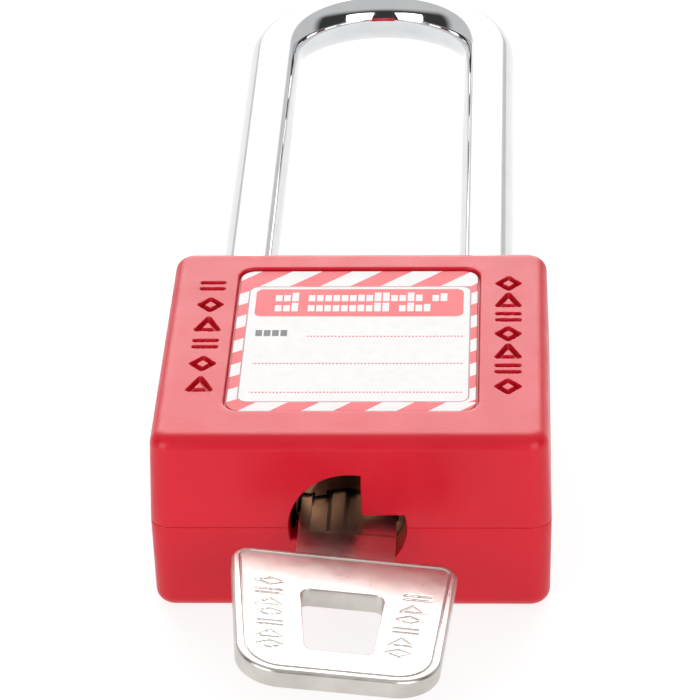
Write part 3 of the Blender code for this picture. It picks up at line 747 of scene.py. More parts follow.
def make_key(finish):
    key = key_head(finish)
    key.name = "flat_key"
    combined(key, [key_blade(finish)], "UNION")
    key.data.shade_smooth()
    key.data.set_sharp_from_angle(angle=math.radians(32))
    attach(key, "key")
    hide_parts("key")


# ---------------------------------------------------------------- cylinder


def turned_solid(name, profile, sides, finish):
    """A profile of (radius, y) turned about the cylinder's axis and turned with the key."""
    angles = 2 * np.pi * (np.arange(sides) + 0.5) / sides
    radius, y = np.array(profile, float).T
    points = np.stack([
        radius[:, None] * np.cos(angles),
        np.broadcast_to(y[:, None], (len(y), sides)),
        radius[:, None] * np.sin(angles),
    ], axis=-1)
    return closed_loft(name, turned_with_key(points), finish)


def make_plug_face(finish):
    """The brass plug, with a funnel in its face, turned rings and its keyway."""
    radius = 5.9 * MM
    face, end = plug_low.y, plug_high.y
    funnel_radius, funnel_depth = 4.5 * MM, 2.2 * MM
    chamfer, neck = 0.3 * MM, radius - 0.8 * MM
    groove = (housing_high.y + 0.25 * MM, end - 1.8 * MM - 0.75 * MM)
    profile = [(0.05 * MM, face + funnel_depth)]
    for share in np.linspace(0, 1, 24)[1:]:
        profile.append((funnel_radius * share, face + funnel_depth * (1 - share)))
    profile += [
        (radius - chamfer, face), (radius, face + chamfer), (radius, groove[0]), (neck, groove[0]),
        (neck, groove[1]), (radius, groove[1]), (radius, end - 1.8 * MM),
    ]
    plug = turned_solid("plug_core", profile, 96, finish)
    room = 0.24 * MM
    t, b = BLADE_HALF_THICK + room, BLADE_HALF + room
    rib = 0.5 * MM
    section = np.array([
        (b, -t), (b, t), (3.2 * MM, t), (0.55 * MM, t - 0.38 * MM), (0.5 * MM, t), (-2.1 * MM - room, t),
        (-2.1 * MM - room, t - rib), (-3.7 * MM + room, t - rib), (-3.7 * MM + room, t), (-b, t), (-b, -t),
        (-3.2 * MM + room, -t), (-3.2 * MM + room, -t + rib), (-1.6 * MM - room, -t + rib),
        (-1.6 * MM - room, -t),
    ]) + (BLADE_OFFSET, 0)
    places = np.array([face - 1 * MM, BLADE_TIP + 0.5 * MM])
    rings = np.stack([
        np.broadcast_to(section[:, 0], (2, len(section))),
        np.broadcast_to(places[:, None], (2, len(section))),
        np.broadcast_to(section[:, 1], (2, len(section))),
    ], axis=-1)
    keyway = closed_loft("keyway", turned_with_key(rings), finish)
    tang_half, tang_reach = 0.9 * MM, 2.7 * MM
    corners = np.array([(1, 1), (-1, 1), (-1, -1), (1, -1)]) * (tang_reach, tang_half)
    tang_rings = np.array([
        [(x, y, z) for x, z in corners] for y in (end - 2.8 * MM, end)
    ])
    tang = closed_loft("tang", turned_with_key(tang_rings), finish)
    combined(plug, [tang], "UNION")
    combined(plug, [keyway], "DIFFERENCE")
    plug.data.shade_smooth()
    plug.data.set_sharp_from_angle(angle=math.radians(32))
    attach(plug, "plug")
    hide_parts("plug")


def make_pin_springs(finish):
    """Six coil springs, each filling the box of its spring part.

    The wire's middle after t turns is (x(t), coil * cos(2 pi t), coil * sin(2 pi t)) from the spring's
    axis, where x rises evenly but for one closed turn at each end. Its section is a circle in the plane of
    the spring's axis and the radius.
    """
    wire, turns = 0.16 * MM, 5.5
    turn = np.linspace(0, turns, 133)
    around = 2 * np.pi * turn
    section = 2 * np.pi * np.arange(10) / 10
    for number in range(1, 7):
        low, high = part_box(f"pin_spring_{number}")
        coil = (high.y - low.y) / 2 - wire
        closed_end = 1.05 * 2 * wire
        along = np.interp(turn, [0, 1, turns - 1, turns], [
            low.x + wire, low.x + wire + closed_end, high.x - wire - closed_end, high.x - wire,
        ])
        reach = coil + wire * np.cos(section)[None, :]
        points = np.stack([
            along[:, None] + wire * np.sin(section)[None, :],
            (low.y + high.y) / 2 + reach * np.cos(around)[:, None],
            AXIS_Z + reach * np.sin(around)[:, None],
        ], axis=-1)
        spring = closed_loft(f"pin_coil_{number}", points, finish, 40)
        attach(spring, "body")
        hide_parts(f"pin_spring_{number}")
        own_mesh(spring)


# ---------------------------------------------------------------- materials


def empty_material(name):
    """A new material with nothing in it, its nodes and its links."""
    material = bpy.data.materials.new(name)
    material.use_nodes = True
    material.node_tree.nodes.clear()
    return material, material.node_tree.nodes, material.node_tree.links


def set_out(groups):
    """Places nodes on the editor's sheet in rows of eight, each group below the last and in its frame."""
    top = 0
    for group, members in groups:
        for i, member in enumerate(members):
            member.parent = group
            member.location = (200 * (i % 8), top - 260 * (i // 8))
        top -= 260 * (1 + (len(members) - 1) // 8) + 60


def moulded_plastic(name, colour, roughness):
    """Red moulded plastic: a fine sparked skin, slight flow marks in its colour, and rubbed patches."""
    material, nodes, links = empty_material(name)

    output = nodes.new("ShaderNodeOutputMaterial")
    output.label = "plastic surface"
    shader = nodes.new("ShaderNodeBsdfPrincipled")
    shader.label = "coloured thermoplastic"
    shader.inputs["IOR"].default_value = 1.46
    shader.inputs["Specular IOR Level"].default_value = 0.40

    place = nodes.new("ShaderNodeTexCoord")
    place.label = "place on the body"

    colour_frame = nodes.new("NodeFrame")
    colour_frame.label = "colour: flow marks in the pigment"
    flow = nodes.new("ShaderNodeTexNoise")
    flow.label = "slow pigment drift"
    flow.inputs["Scale"].default_value = 90.0
    flow.inputs["Detail"].default_value = 3.0
    shade = nodes.new("ShaderNodeValToRGB")
    shade.label = "deep to bright red"
    shade.color_ramp.elements[0].position = 0.25
    shade.color_ramp.elements[0].color = (*[c * 0.93 for c in colour], 1)
    shade.color_ramp.elements[1].position = 0.75
    shade.color_ramp.elements[1].color = (*[min(c * 1.05, 1) for c in colour], 1)

    gloss_frame = nodes.new("NodeFrame")
    gloss_frame.label = "gloss: handling marks"
    rub = nodes.new("ShaderNodeTexNoise")
    rub.label = "rubbed patches"
    rub.inputs["Scale"].default_value = 260.0
    rub.inputs["Detail"].default_value = 5.0
    rub_range = nodes.new("ShaderNodeMapRange")
    rub_range.label = "roughness of the skin"
    rub_range.inputs["From Min"].default_value = 0.3
    rub_range.inputs["From Max"].default_value = 0.7
    rub_range.inputs["To Min"].default_value = roughness - 0.05
    rub_range.inputs["To Max"].default_value = roughness + 0.06

    grain_frame = nodes.new("NodeFrame")
    grain_frame.label = "bump: sparked mould texture"
    grain = nodes.new("ShaderNodeTexNoise")
    grain.label = "spark grain"
    grain.inputs["Scale"].default_value = 4200.0
    grain.inputs["Detail"].default_value = 2.0
    ripple = nodes.new("ShaderNodeTexNoise")
    ripple.label = "sink and flow ripple"
    ripple.inputs["Scale"].default_value = 230.0
    ripple.inputs["Detail"].default_value = 2.0
    grain_bump = nodes.new("ShaderNodeBump")
    grain_bump.label = "grain height"
    grain_bump.inputs["Strength"].default_value = 0.35
    grain_bump.inputs["Distance"].default_value = 0.00004
    ripple_bump = nodes.new("ShaderNodeBump")
    ripple_bump.label = "ripple height"
    ripple_bump.inputs["Strength"].default_value = 0.25
    ripple_bump.inputs["Distance"].default_value = 0.00012

    set_out((
        (None, (output, shader, place)),
        (colour_frame, (flow, shade)),
        (gloss_frame, (rub, rub_range)),
        (grain_frame, (grain, ripple, grain_bump, ripple_bump)),
    ))
    links.new(place.outputs["Object"], flow.inputs["Vector"])
    links.new(place.outputs["Object"], rub.inputs["Vector"])
    links.new(place.outputs["Object"], grain.inputs["Vector"])
    links.new(place.outputs["Object"], ripple.inputs["Vector"])
    links.new(flow.outputs["Fac"], shade.inputs["Fac"])
    links.new(shade.outputs["Color"], shader.inputs["Base Color"])
    links.new(rub.outputs["Fac"], rub_range.inputs["Value"])
    links.new(rub_range.outputs["Result"], shader.inputs["Roughness"])
    links.new(ripple.outputs["Fac"], ripple_bump.inputs["Height"])
    links.new(ripple_bump.outputs["Normal"], grain_bump.inputs["Normal"])
    links.new(grain.outputs["Fac"], grain_bump.inputs["Height"])
    links.new(grain_bump.outputs["Normal"], shader.inputs["Normal"])
    links.new(shader.outputs["BSDF"], output.inputs["Surface"])
    return material


def worked_metal(name, bright, dull, roughness, grain_scale, stretch, bump):
    """Bare or plated metal: two tones, tool marks stretched by the given scales, and patchy polish."""
    material, nodes, links = empty_material(name)

    output = nodes.new("ShaderNodeOutputMaterial")
    output.label = "metal surface"
    shader = nodes.new("ShaderNodeBsdfPrincipled")
    shader.label = "metal"
    shader.inputs["Metallic"].default_value = 1.0

    place = nodes.new("ShaderNodeTexCoord")
    place.label = "place on the piece"

    tone_frame = nodes.new("NodeFrame")
    tone_frame.label = "colour: bright and dull patches"
    patches = nodes.new("ShaderNodeTexNoise")
    patches.label = "tarnish and wear"
    patches.inputs["Scale"].default_value = 300.0
    patches.inputs["Detail"].default_value = 4.0
    tone = nodes.new("ShaderNodeValToRGB")
    tone.label = "dull to bright"
    tone.color_ramp.elements[0].position = 0.3
    tone.color_ramp.elements[0].color = (*dull, 1)
    tone.color_ramp.elements[1].position = 0.62
    tone.color_ramp.elements[1].color = (*bright, 1)

    polish_frame = nodes.new("NodeFrame")
    polish_frame.label = "gloss: patchy polish"
    polish = nodes.new("ShaderNodeTexNoise")
    polish.label = "polish"
    polish.inputs["Scale"].default_value = 700.0
    polish.inputs["Detail"].default_value = 4.0
    polish_range = nodes.new("ShaderNodeMapRange")
    polish_range.label = "roughness"
    polish_range.inputs["To Min"].default_value = roughness * 0.75
    polish_range.inputs["To Max"].default_value = roughness * 1.3

    tool_frame = nodes.new("NodeFrame")
    tool_frame.label = "bump: tool marks"
    along = nodes.new("ShaderNodeMapping")
    along.label = "stretch along the marks"
    along.inputs["Scale"].default_value = stretch
    marks = nodes.new("ShaderNodeTexNoise")
    marks.label = "tool marks"
    marks.inputs["Scale"].default_value = grain_scale
    marks.inputs["Detail"].default_value = 3.0
    tool_bump = nodes.new("ShaderNodeBump")
    tool_bump.label = "height of the marks"
    tool_bump.inputs["Strength"].default_value = bump
    tool_bump.inputs["Distance"].default_value = 0.00002

    set_out((
        (None, (output, shader, place)),
        (tone_frame, (patches, tone)),
        (polish_frame, (polish, polish_range)),
        (tool_frame, (along, marks, tool_bump)),
    ))
    links.new(place.outputs["Object"], patches.inputs["Vector"])
    links.new(place.outputs["Object"], polish.inputs["Vector"])
    links.new(place.outputs["Object"], along.inputs["Vector"])
    links.new(along.outputs["Vector"], marks.inputs["Vector"])
    links.new(patches.outputs["Fac"], tone.inputs["Fac"])
    links.new(tone.outputs["Color"], shader.inputs["Base Color"])
    links.new(polish.outputs["Fac"], polish_range.inputs["Value"])
    links.new(polish_range.outputs["Result"], shader.inputs["Roughness"])
    links.new(marks.outputs["Fac"], tool_bump.inputs["Height"])
    links.new(tool_bump.outputs["Normal"], shader.inputs["Normal"])
    links.new(shader.outputs["BSDF"], output.inputs["Surface"])
    return material


def label_print():
    """The sticker's print, laid out in millimetres on the label: slanting red bands round a white panel,
    a red heading with two rows of plain blocks, a grey block row and three dotted lines to write on.

    A band is the part of a sloping coordinate, divided by its period, that is past one half. A panel is
    where the distance beyond an inner rectangle is less than the corner's radius.
    """
    material, nodes, links = empty_material("label_print")

    red_ink = (0.60, 0.010, 0.022, 1)
    output = nodes.new("ShaderNodeOutputMaterial")
    output.label = "label surface"
    shader = nodes.new("ShaderNodeBsdfPrincipled")
    shader.label = "laminated print"
    shader.inputs["IOR"].default_value = 1.46
    shader.inputs["Specular IOR Level"].default_value = 0.42
    place = nodes.new("ShaderNodeTexCoord")
    place.label = "place on the label"
    ruler = nodes.new("ShaderNodeMapping")
    ruler.label = "flat, in millimetres"
    ruler.inputs["Scale"].default_value = (1000.0, 1000.0, 0.0)
    parts = nodes.new("ShaderNodeSeparateXYZ")
    parts.label = "across and along"
    across, along = parts.outputs["X"], parts.outputs["Y"]

    # bands at the top and bottom, and steeper ones at the sides
    slant = nodes.new("ShaderNodeVectorMath")
    slant.label = "slope of the end bands"
    slant_start = nodes.new("ShaderNodeMath")
    slant_start.label = "where the end bands start"
    slant_part = nodes.new("ShaderNodeMath")
    slant_part.label = "part of a period"
    slant_red = nodes.new("ShaderNodeMath")
    slant_red.label = "red half of an end band"
    steep = nodes.new("ShaderNodeVectorMath")
    steep.label = "slope of the side bands"
    steep_start = nodes.new("ShaderNodeMath")
    steep_start.label = "where the side bands start"
    steep_part = nodes.new("ShaderNodeMath")
    steep_part.label = "part of a period"
    steep_red = nodes.new("ShaderNodeMath")
    steep_red.label = "red half of a side band"
    beside = nodes.new("ShaderNodeMath")
    beside.label = "between the end bands"
    band_red = nodes.new("ShaderNodeMix")
    band_red.label = "end or side band"

    # the white panel and its fine outline
    panel_middle = nodes.new("ShaderNodeVectorMath")
    panel_middle.label = "from the panel's middle"
    panel_side = nodes.new("ShaderNodeVectorMath")
    panel_side.label = "either side alike"
    panel_beyond = nodes.new("ShaderNodeVectorMath")
    panel_beyond.label = "beyond the inner rectangle"
    panel_outside = nodes.new("ShaderNodeVectorMath")
    panel_outside.label = "nothing inside it"
    panel_distance = nodes.new("ShaderNodeVectorMath")
    panel_distance.label = "distance beyond it"
    panel = nodes.new("ShaderNodeMath")
    panel.label = "the white panel"
    outline = nodes.new("ShaderNodeMath")
    outline.label = "its fine outline"

    # the red heading
    heading_middle = nodes.new("ShaderNodeVectorMath")
    heading_middle.label = "from the heading's middle"
    heading_side = nodes.new("ShaderNodeVectorMath")
    heading_side.label = "either side alike"
    heading_beyond = nodes.new("ShaderNodeVectorMath")
    heading_beyond.label = "beyond the inner rectangle"
    heading_outside = nodes.new("ShaderNodeVectorMath")
    heading_outside.label = "nothing inside it"
    heading_distance = nodes.new("ShaderNodeVectorMath")
    heading_distance.label = "distance beyond it"
    heading = nodes.new("ShaderNodeMath")
    heading.label = "the red heading"

    # rows of blocks of several heights
    cells = nodes.new("ShaderNodeMath")
    cells.label = "blocks 0.86 mm apart"
    cell_part = nodes.new("ShaderNodeMath")
    cell_part.label = "part of a block"
    block = nodes.new("ShaderNodeMath")
    block.label = "block, not gap"
    cell_number = nodes.new("ShaderNodeMath")
    cell_number.label = "number of the block"
    chance = nodes.new("ShaderNodeTexWhiteNoise")
    chance.label = "one chance for each block"
    chance.noise_dimensions = "1D"
    tall = nodes.new("ShaderNodeMapRange")
    tall.label = "height of the block"
    tall.inputs["From Min"].default_value = 0.55
    tall.inputs["From Max"].default_value = 0.75
    tall.inputs["To Min"].default_value = 0.60
    tall.inputs["To Max"].default_value = 0.84
    row = nodes.new("ShaderNodeMapRange")
    row.label = "rows 2.1 mm apart"
    row.clamp = False
    row.inputs["From Min"].default_value = 6.5
    row.inputs["From Max"].default_value = 8.6
    row_part = nodes.new("ShaderNodeMath")
    row_part.label = "height in the row"
    low_enough = nodes.new("ShaderNodeMath")
    low_enough.label = "below the block's top"
    letters = nodes.new("ShaderNodeMath")
    letters.label = "blocks in rows"

    # which stretches of the two rows hold blocks
    stretch = nodes.new("ShaderNodeMapRange")
    stretch.label = "along a row"
    stretch.inputs["From Min"].default_value = -9.46
    stretch.inputs["From Max"].default_value = 9.46
    upper_words = nodes.new("ShaderNodeValToRGB")
    upper_words.label = "blocks of the upper row"
    lower_words = nodes.new("ShaderNodeValToRGB")
    lower_words.label = "blocks of the lower row"
    for ramp, ends in (
        (upper_words.color_ramp, (1, 4, 5, 19, 20, 22)),
        (lower_words.color_ramp, (1, 4, 5, 15, 16, 20)),
    ):
        ramp.interpolation = "CONSTANT"
        ramp.elements[0].color = (0, 0, 0, 1)
        ramp.elements[1].position = (ends[0] - 0.1) / 22
        ramp.elements[1].color = (1, 1, 1, 1)
        for number, end in enumerate(ends[1:]):
            shade = float(number % 2)
            ramp.elements.new((end - 0.1) / 22).color = (shade, shade, shade, 1)
    upper = nodes.new("ShaderNodeMath")
    upper.label = "in the upper row"
    words = nodes.new("ShaderNodeMix")
    words.label = "blocks of this row"
    in_rows = nodes.new("ShaderNodeMath")
    in_rows.label = "between the rows' ends"
    in_words = nodes.new("ShaderNodeMath")
    in_words.label = "in a filled stretch"
    printed_words = nodes.new("ShaderNodeMath")
    printed_words.label = "white blocks of the heading"

    # the grey row beside the first line
    grey_along = nodes.new("ShaderNodeMath")
    grey_along.label = "height of the grey row"
    grey_across = nodes.new("ShaderNodeMath")
    grey_across.label = "length of the grey row"
    grey_place = nodes.new("ShaderNodeMath")
    grey_place.label = "grey row"
    grey_words = nodes.new("ShaderNodeMath")
    grey_words.label = "grey blocks"

    # dotted lines
    dots = nodes.new("ShaderNodeMath")
    dots.label = "dots 0.36 mm apart"
    dot_part = nodes.new("ShaderNodeMath")
    dot_part.label = "part of a dot's place"
    dot = nodes.new("ShaderNodeMath")
    dot.label = "dot, not gap"
    first_line = nodes.new("ShaderNodeMath")
    first_line.label = "first line"
    after_grey = nodes.new("ShaderNodeMath")
    after_grey.label = "right of the grey row"
    short_line = nodes.new("ShaderNodeMath")
    short_line.label = "first line, cut short"
    second_line = nodes.new("ShaderNodeMath")
    second_line.label = "second line"
    third_line = nodes.new("ShaderNodeMath")
    third_line.label = "third line"
    long_lines = nodes.new("ShaderNodeMath")
    long_lines.label = "second and third lines"
    all_lines = nodes.new("ShaderNodeMath")
    all_lines.label = "all three lines"
    line_ends = nodes.new("ShaderNodeMath")
    line_ends.label = "between the lines' ends"
    lines_here = nodes.new("ShaderNodeMath")
    lines_here.label = "lines with ends"
    dotted = nodes.new("ShaderNodeMath")
    dotted.label = "dotted lines"

    # inks laid over the sheet, one after the other
    fibre = nodes.new("ShaderNodeTexNoise")
    fibre.label = "cloudiness of the sheet"
    fibre.inputs["Scale"].default_value = 900.0
    fibre.inputs["Detail"].default_value = 4.0
    sheet = nodes.new("ShaderNodeValToRGB")
    sheet.label = "white sheet"
    sheet.color_ramp.elements[0].position = 0.3
    sheet.color_ramp.elements[0].color = (0.58, 0.565, 0.56, 1)
    sheet.color_ramp.elements[1].position = 0.7
    sheet.color_ramp.elements[1].color = (0.62, 0.605, 0.60, 1)
    with_bands = nodes.new("ShaderNodeMix")
    with_bands.label = "red bands"
    with_panel = nodes.new("ShaderNodeMix")
    with_panel.label = "white panel"
    with_outline = nodes.new("ShaderNodeMix")
    with_outline.label = "grey-pink outline"
    with_heading = nodes.new("ShaderNodeMix")
    with_heading.label = "red heading"
    with_words = nodes.new("ShaderNodeMix")
    with_words.label = "white blocks"
    with_lines = nodes.new("ShaderNodeMix")
    with_lines.label = "pink dotted lines"
    with_grey = nodes.new("ShaderNodeMix")
    with_grey.label = "grey blocks"

    # gloss and the skin of the laminate
    smears = nodes.new("ShaderNodeTexNoise")
    smears.label = "handling smears"
    smears.inputs["Scale"].default_value = 320.0
    smears.inputs["Detail"].default_value = 4.0
    gloss = nodes.new("ShaderNodeMapRange")
    gloss.label = "roughness of the laminate"
    gloss.inputs["To Min"].default_value = 0.26
    gloss.inputs["To Max"].default_value = 0.44
    skin = nodes.new("ShaderNodeTexNoise")
    skin.label = "skin of the laminate"
    skin.inputs["Scale"].default_value = 3000.0
    skin_bump = nodes.new("ShaderNodeBump")
    skin_bump.label = "height of the skin"
    skin_bump.inputs["Strength"].default_value = 0.12
    skin_bump.inputs["Distance"].default_value = 0.00002

    # what the nodes work out, with their constants
    for node, operation, *constants in (
        (slant, "DOT_PRODUCT", (1 / 6.33, -1.049 / 6.33, 0)), (slant_start, "ADD", 0.589),
        (slant_part, "FRACT"), (slant_red, "GREATER_THAN", 0.5),
        (steep, "DOT_PRODUCT", (-0.6 / 4.8, 1 / 4.8, 0)), (steep_start, "ADD", 0.844),
        (steep_part, "FRACT"), (steep_red, "GREATER_THAN", 0.5), (beside, "COMPARE", 0.1, 11.6),
        (panel_middle, "SUBTRACT", (0.17, 0.1, 0)), (panel_side, "ABSOLUTE"),
        (panel_beyond, "SUBTRACT", (10.55, 10.5, 0)), (panel_outside, "MAXIMUM"),
        (panel_distance, "LENGTH"), (panel, "LESS_THAN", 1.0), (outline, "COMPARE", 1.0, 0.075),
        (heading_middle, "SUBTRACT", (0.17, 8.27, 0)), (heading_side, "ABSOLUTE"),
        (heading_beyond, "SUBTRACT", (10.03, 2.03, 0)), (heading_outside, "MAXIMUM"),
        (heading_distance, "LENGTH"), (heading, "LESS_THAN", 0.8), (cells, "MULTIPLY", 1 / 0.86),
        (cell_part, "FRACT"), (block, "LESS_THAN", 0.80), (cell_number, "FLOOR"), (row_part, "FRACT"),
        (low_enough, "LESS_THAN"), (letters, "MULTIPLY"), (upper, "GREATER_THAN", 8.45),
        (in_rows, "COMPARE", 8.6, 2.1), (in_words, "MULTIPLY"), (printed_words, "MULTIPLY"),
        (grey_along, "COMPARE", 2.05, 0.62), (grey_across, "COMPARE", -8.6, 1.72),
        (grey_place, "MULTIPLY"), (grey_words, "MULTIPLY"), (dots, "MULTIPLY", 1 / 0.36),
        (dot_part, "FRACT"), (dot, "LESS_THAN", 0.62), (first_line, "COMPARE", 1.4, 0.12),
        (after_grey, "GREATER_THAN", -5.0), (short_line, "MULTIPLY"),
        (second_line, "COMPARE", -4.0, 0.12), (third_line, "COMPARE", -9.6, 0.12), (long_lines, "ADD"),
        (all_lines, "ADD"), (line_ends, "COMPARE", 0.4, 10.7), (lines_here, "MULTIPLY"),
        (dotted, "MULTIPLY"),
    ):
        node.operation = operation
        for socket, constant in enumerate(constants, 1):
            node.inputs[socket].default_value = constant

    # frames, by what the nodes do
    place_frame = nodes.new("NodeFrame")
    place_frame.label = "place"
    surface_frame = nodes.new("NodeFrame")
    surface_frame.label = "surface"
    bands_frame = nodes.new("NodeFrame")
    bands_frame.label = "slanting bands"
    panel_frame = nodes.new("NodeFrame")
    panel_frame.label = "white panel"
    heading_frame = nodes.new("NodeFrame")
    heading_frame.label = "heading"
    rows_frame = nodes.new("NodeFrame")
    rows_frame.label = "rows of blocks"
    stretch_frame = nodes.new("NodeFrame")
    stretch_frame.label = "filled stretches"
    grey_frame = nodes.new("NodeFrame")
    grey_frame.label = "grey row"
    lines_frame = nodes.new("NodeFrame")
    lines_frame.label = "dotted lines"
    ink_frame = nodes.new("NodeFrame")
    ink_frame.label = "inks"
    gloss_frame = nodes.new("NodeFrame")
    gloss_frame.label = "gloss and skin"
    set_out((
        (place_frame, (place, ruler, parts)),
        (surface_frame, (shader, output)),
        (bands_frame, (
            slant, slant_start, slant_part, slant_red, beside, band_red, steep, steep_start, steep_part,
            steep_red
        )),
        (panel_frame, (
            panel_middle, panel_side, panel_beyond, panel_outside, panel_distance, panel, outline
        )),
        (heading_frame, (
            heading_middle, heading_side, heading_beyond, heading_outside, heading_distance, heading
        )),
        (rows_frame, (
            cells, cell_part, block, cell_number, chance, tall, row, row_part, low_enough, letters
        )),
        (stretch_frame, (
            stretch, upper_words, lower_words, upper, words, in_rows, in_words, printed_words
        )),
        (grey_frame, (grey_along, grey_across, grey_place, grey_words)),
        (lines_frame, (
            dots, dot_part, dot, first_line, after_grey, short_line, second_line, third_line, long_lines,
            all_lines, line_ends, lines_here, dotted
        )),
        (ink_frame, (
            fibre, sheet, with_bands, with_panel, with_outline, with_heading, with_words, with_lines,
            with_grey
        )),
        (gloss_frame, (smears, gloss, skin, skin_bump)),
    ))

    # links, from the place on the label to the masks
    links.new(place.outputs["Object"], ruler.inputs["Vector"])
    links.new(ruler.outputs["Vector"], parts.inputs["Vector"])
    links.new(ruler.outputs["Vector"], slant.inputs[0])
    links.new(slant.outputs["Value"], slant_start.inputs[0])
    links.new(slant_start.outputs["Value"], slant_part.inputs[0])
    links.new(slant_part.outputs["Value"], slant_red.inputs[0])
    links.new(ruler.outputs["Vector"], steep.inputs[0])
    links.new(steep.outputs["Value"], steep_start.inputs[0])
    links.new(steep_start.outputs["Value"], steep_part.inputs[0])
    links.new(steep_part.outputs["Value"], steep_red.inputs[0])
    links.new(along, beside.inputs[0])
    links.new(beside.outputs["Value"], band_red.inputs["Factor"])
    links.new(slant_red.outputs["Value"], band_red.inputs["A"])
    links.new(steep_red.outputs["Value"], band_red.inputs["B"])
    links.new(ruler.outputs["Vector"], panel_middle.inputs[0])
    links.new(panel_middle.outputs["Vector"], panel_side.inputs[0])
    links.new(panel_side.outputs["Vector"], panel_beyond.inputs[0])
    links.new(panel_beyond.outputs["Vector"], panel_outside.inputs[0])
    links.new(panel_outside.outputs["Vector"], panel_distance.inputs[0])
    links.new(panel_distance.outputs["Value"], panel.inputs[0])
    links.new(panel_distance.outputs["Value"], outline.inputs[0])
    links.new(ruler.outputs["Vector"], heading_middle.inputs[0])
    links.new(heading_middle.outputs["Vector"], heading_side.inputs[0])
    links.new(heading_side.outputs["Vector"], heading_beyond.inputs[0])
    links.new(heading_beyond.outputs["Vector"], heading_outside.inputs[0])
    links.new(heading_outside.outputs["Vector"], heading_distance.inputs[0])
    links.new(heading_distance.outputs["Value"], heading.inputs[0])
    links.new(across, cells.inputs[0])
    links.new(cells.outputs["Value"], cell_part.inputs[0])
    links.new(cell_part.outputs["Value"], block.inputs[0])
    links.new(cells.outputs["Value"], cell_number.inputs[0])
    links.new(cell_number.outputs["Value"], chance.inputs["W"])
    links.new(chance.outputs["Value"], tall.inputs["Value"])
    links.new(along, row.inputs["Value"])
    links.new(row.outputs["Result"], row_part.inputs[0])
    links.new(row_part.outputs["Value"], low_enough.inputs[0])
    links.new(tall.outputs["Result"], low_enough.inputs[1])
    links.new(block.outputs["Value"], letters.inputs[0])
    links.new(low_enough.outputs["Value"], letters.inputs[1])
    links.new(across, stretch.inputs["Value"])
    links.new(stretch.outputs["Result"], upper_words.inputs["Fac"])
    links.new(stretch.outputs["Result"], lower_words.inputs["Fac"])
    links.new(along, upper.inputs[0])
    links.new(upper.outputs["Value"], words.inputs["Factor"])
    links.new(lower_words.outputs["Color"], words.inputs["A"])
    links.new(upper_words.outputs["Color"], words.inputs["B"])
    links.new(along, in_rows.inputs[0])
    links.new(words.outputs["Result"], in_words.inputs[0])
    links.new(in_rows.outputs["Value"], in_words.inputs[1])
    links.new(in_words.outputs["Value"], printed_words.inputs[0])
    links.new(letters.outputs["Value"], printed_words.inputs[1])
    links.new(along, grey_along.inputs[0])
    links.new(across, grey_across.inputs[0])
    links.new(grey_along.outputs["Value"], grey_place.inputs[0])
    links.new(grey_across.outputs["Value"], grey_place.inputs[1])
    links.new(grey_place.outputs["Value"], grey_words.inputs[0])
    links.new(block.outputs["Value"], grey_words.inputs[1])
    links.new(across, dots.inputs[0])
    links.new(dots.outputs["Value"], dot_part.inputs[0])
    links.new(dot_part.outputs["Value"], dot.inputs[0])
    links.new(along, first_line.inputs[0])
    links.new(across, after_grey.inputs[0])
    links.new(first_line.outputs["Value"], short_line.inputs[0])
    links.new(after_grey.outputs["Value"], short_line.inputs[1])
    links.new(along, second_line.inputs[0])
    links.new(along, third_line.inputs[0])
    links.new(second_line.outputs["Value"], long_lines.inputs[0])
    links.new(third_line.outputs["Value"], long_lines.inputs[1])
    links.new(short_line.outputs["Value"], all_lines.inputs[0])
    links.new(long_lines.outputs["Value"], all_lines.inputs[1])
    links.new(across, line_ends.inputs[0])
    links.new(all_lines.outputs["Value"], lines_here.inputs[0])
    links.new(line_ends.outputs["Value"], lines_here.inputs[1])
    links.new(lines_here.outputs["Value"], dotted.inputs[0])
    links.new(dot.outputs["Value"], dotted.inputs[1])
    links.new(place.outputs["Object"], fibre.inputs["Vector"])
    links.new(fibre.outputs["Fac"], sheet.inputs["Fac"])
    links.new(place.outputs["Object"], smears.inputs["Vector"])
    links.new(place.outputs["Object"], skin.inputs["Vector"])
    links.new(smears.outputs["Fac"], gloss.inputs["Value"])
    links.new(gloss.outputs["Result"], shader.inputs["Roughness"])
    links.new(skin.outputs["Fac"], skin_bump.inputs["Height"])
    links.new(skin_bump.outputs["Normal"], shader.inputs["Normal"])
    links.new(shader.outputs["BSDF"], output.inputs["Surface"])

    # the inks, laid one over the other
    layers = (
        (with_bands, band_red, red_ink),
        (with_panel, panel, None),
        (with_outline, outline, (0.30, 0.11, 0.12, 1)),
        (with_heading, heading, red_ink),
        (with_words, printed_words, None),
        (with_lines, dotted, (0.46, 0.06, 0.08, 1)),
        (with_grey, grey_words, (0.035, 0.035, 0.04, 1)),
    )
    below = sheet.outputs["Color"]
    for layer, mask, ink in layers:
        layer.data_type = "RGBA"
        mask_value = mask.outputs["Result"] if mask is band_red else mask.outputs["Value"]
        links.new(mask_value, layer.inputs[0])
        links.new(below, layer.inputs[6])
        if ink is None:
            links.new(sheet.outputs["Color"], layer.inputs[7])
        else:
            layer.inputs[7].default_value = ink
        below = layer.outputs[2]
    links.new(below, shader.inputs["Base Color"])
    return material


# ---------------------------------------------------------------- studio


def make_camera():
    """A long lens, 31 degrees above the label's plane, in front of the keyhole."""
    data = bpy.data.cameras.new("camera")
    data.sensor_width = 36.0
    data.lens = 194.9
    data.clip_start = 0.02
    camera = bpy.data.objects.new("camera", data)
    bpy.context.scene.collection.objects.link(camera)
    right = Vector((0.99901207, 0.03782069, -0.02333413))
    back = Vector((0.04443445, -0.8581765, 0.51142808))
    up = back.cross(right)
    turn = Matrix((right, up, back)).transposed()
    camera.matrix_world = Matrix.Translation((0.0166995, -0.3327363, 0.2173318)) @ turn.to_4x4()
    bpy.context.scene.camera = camera


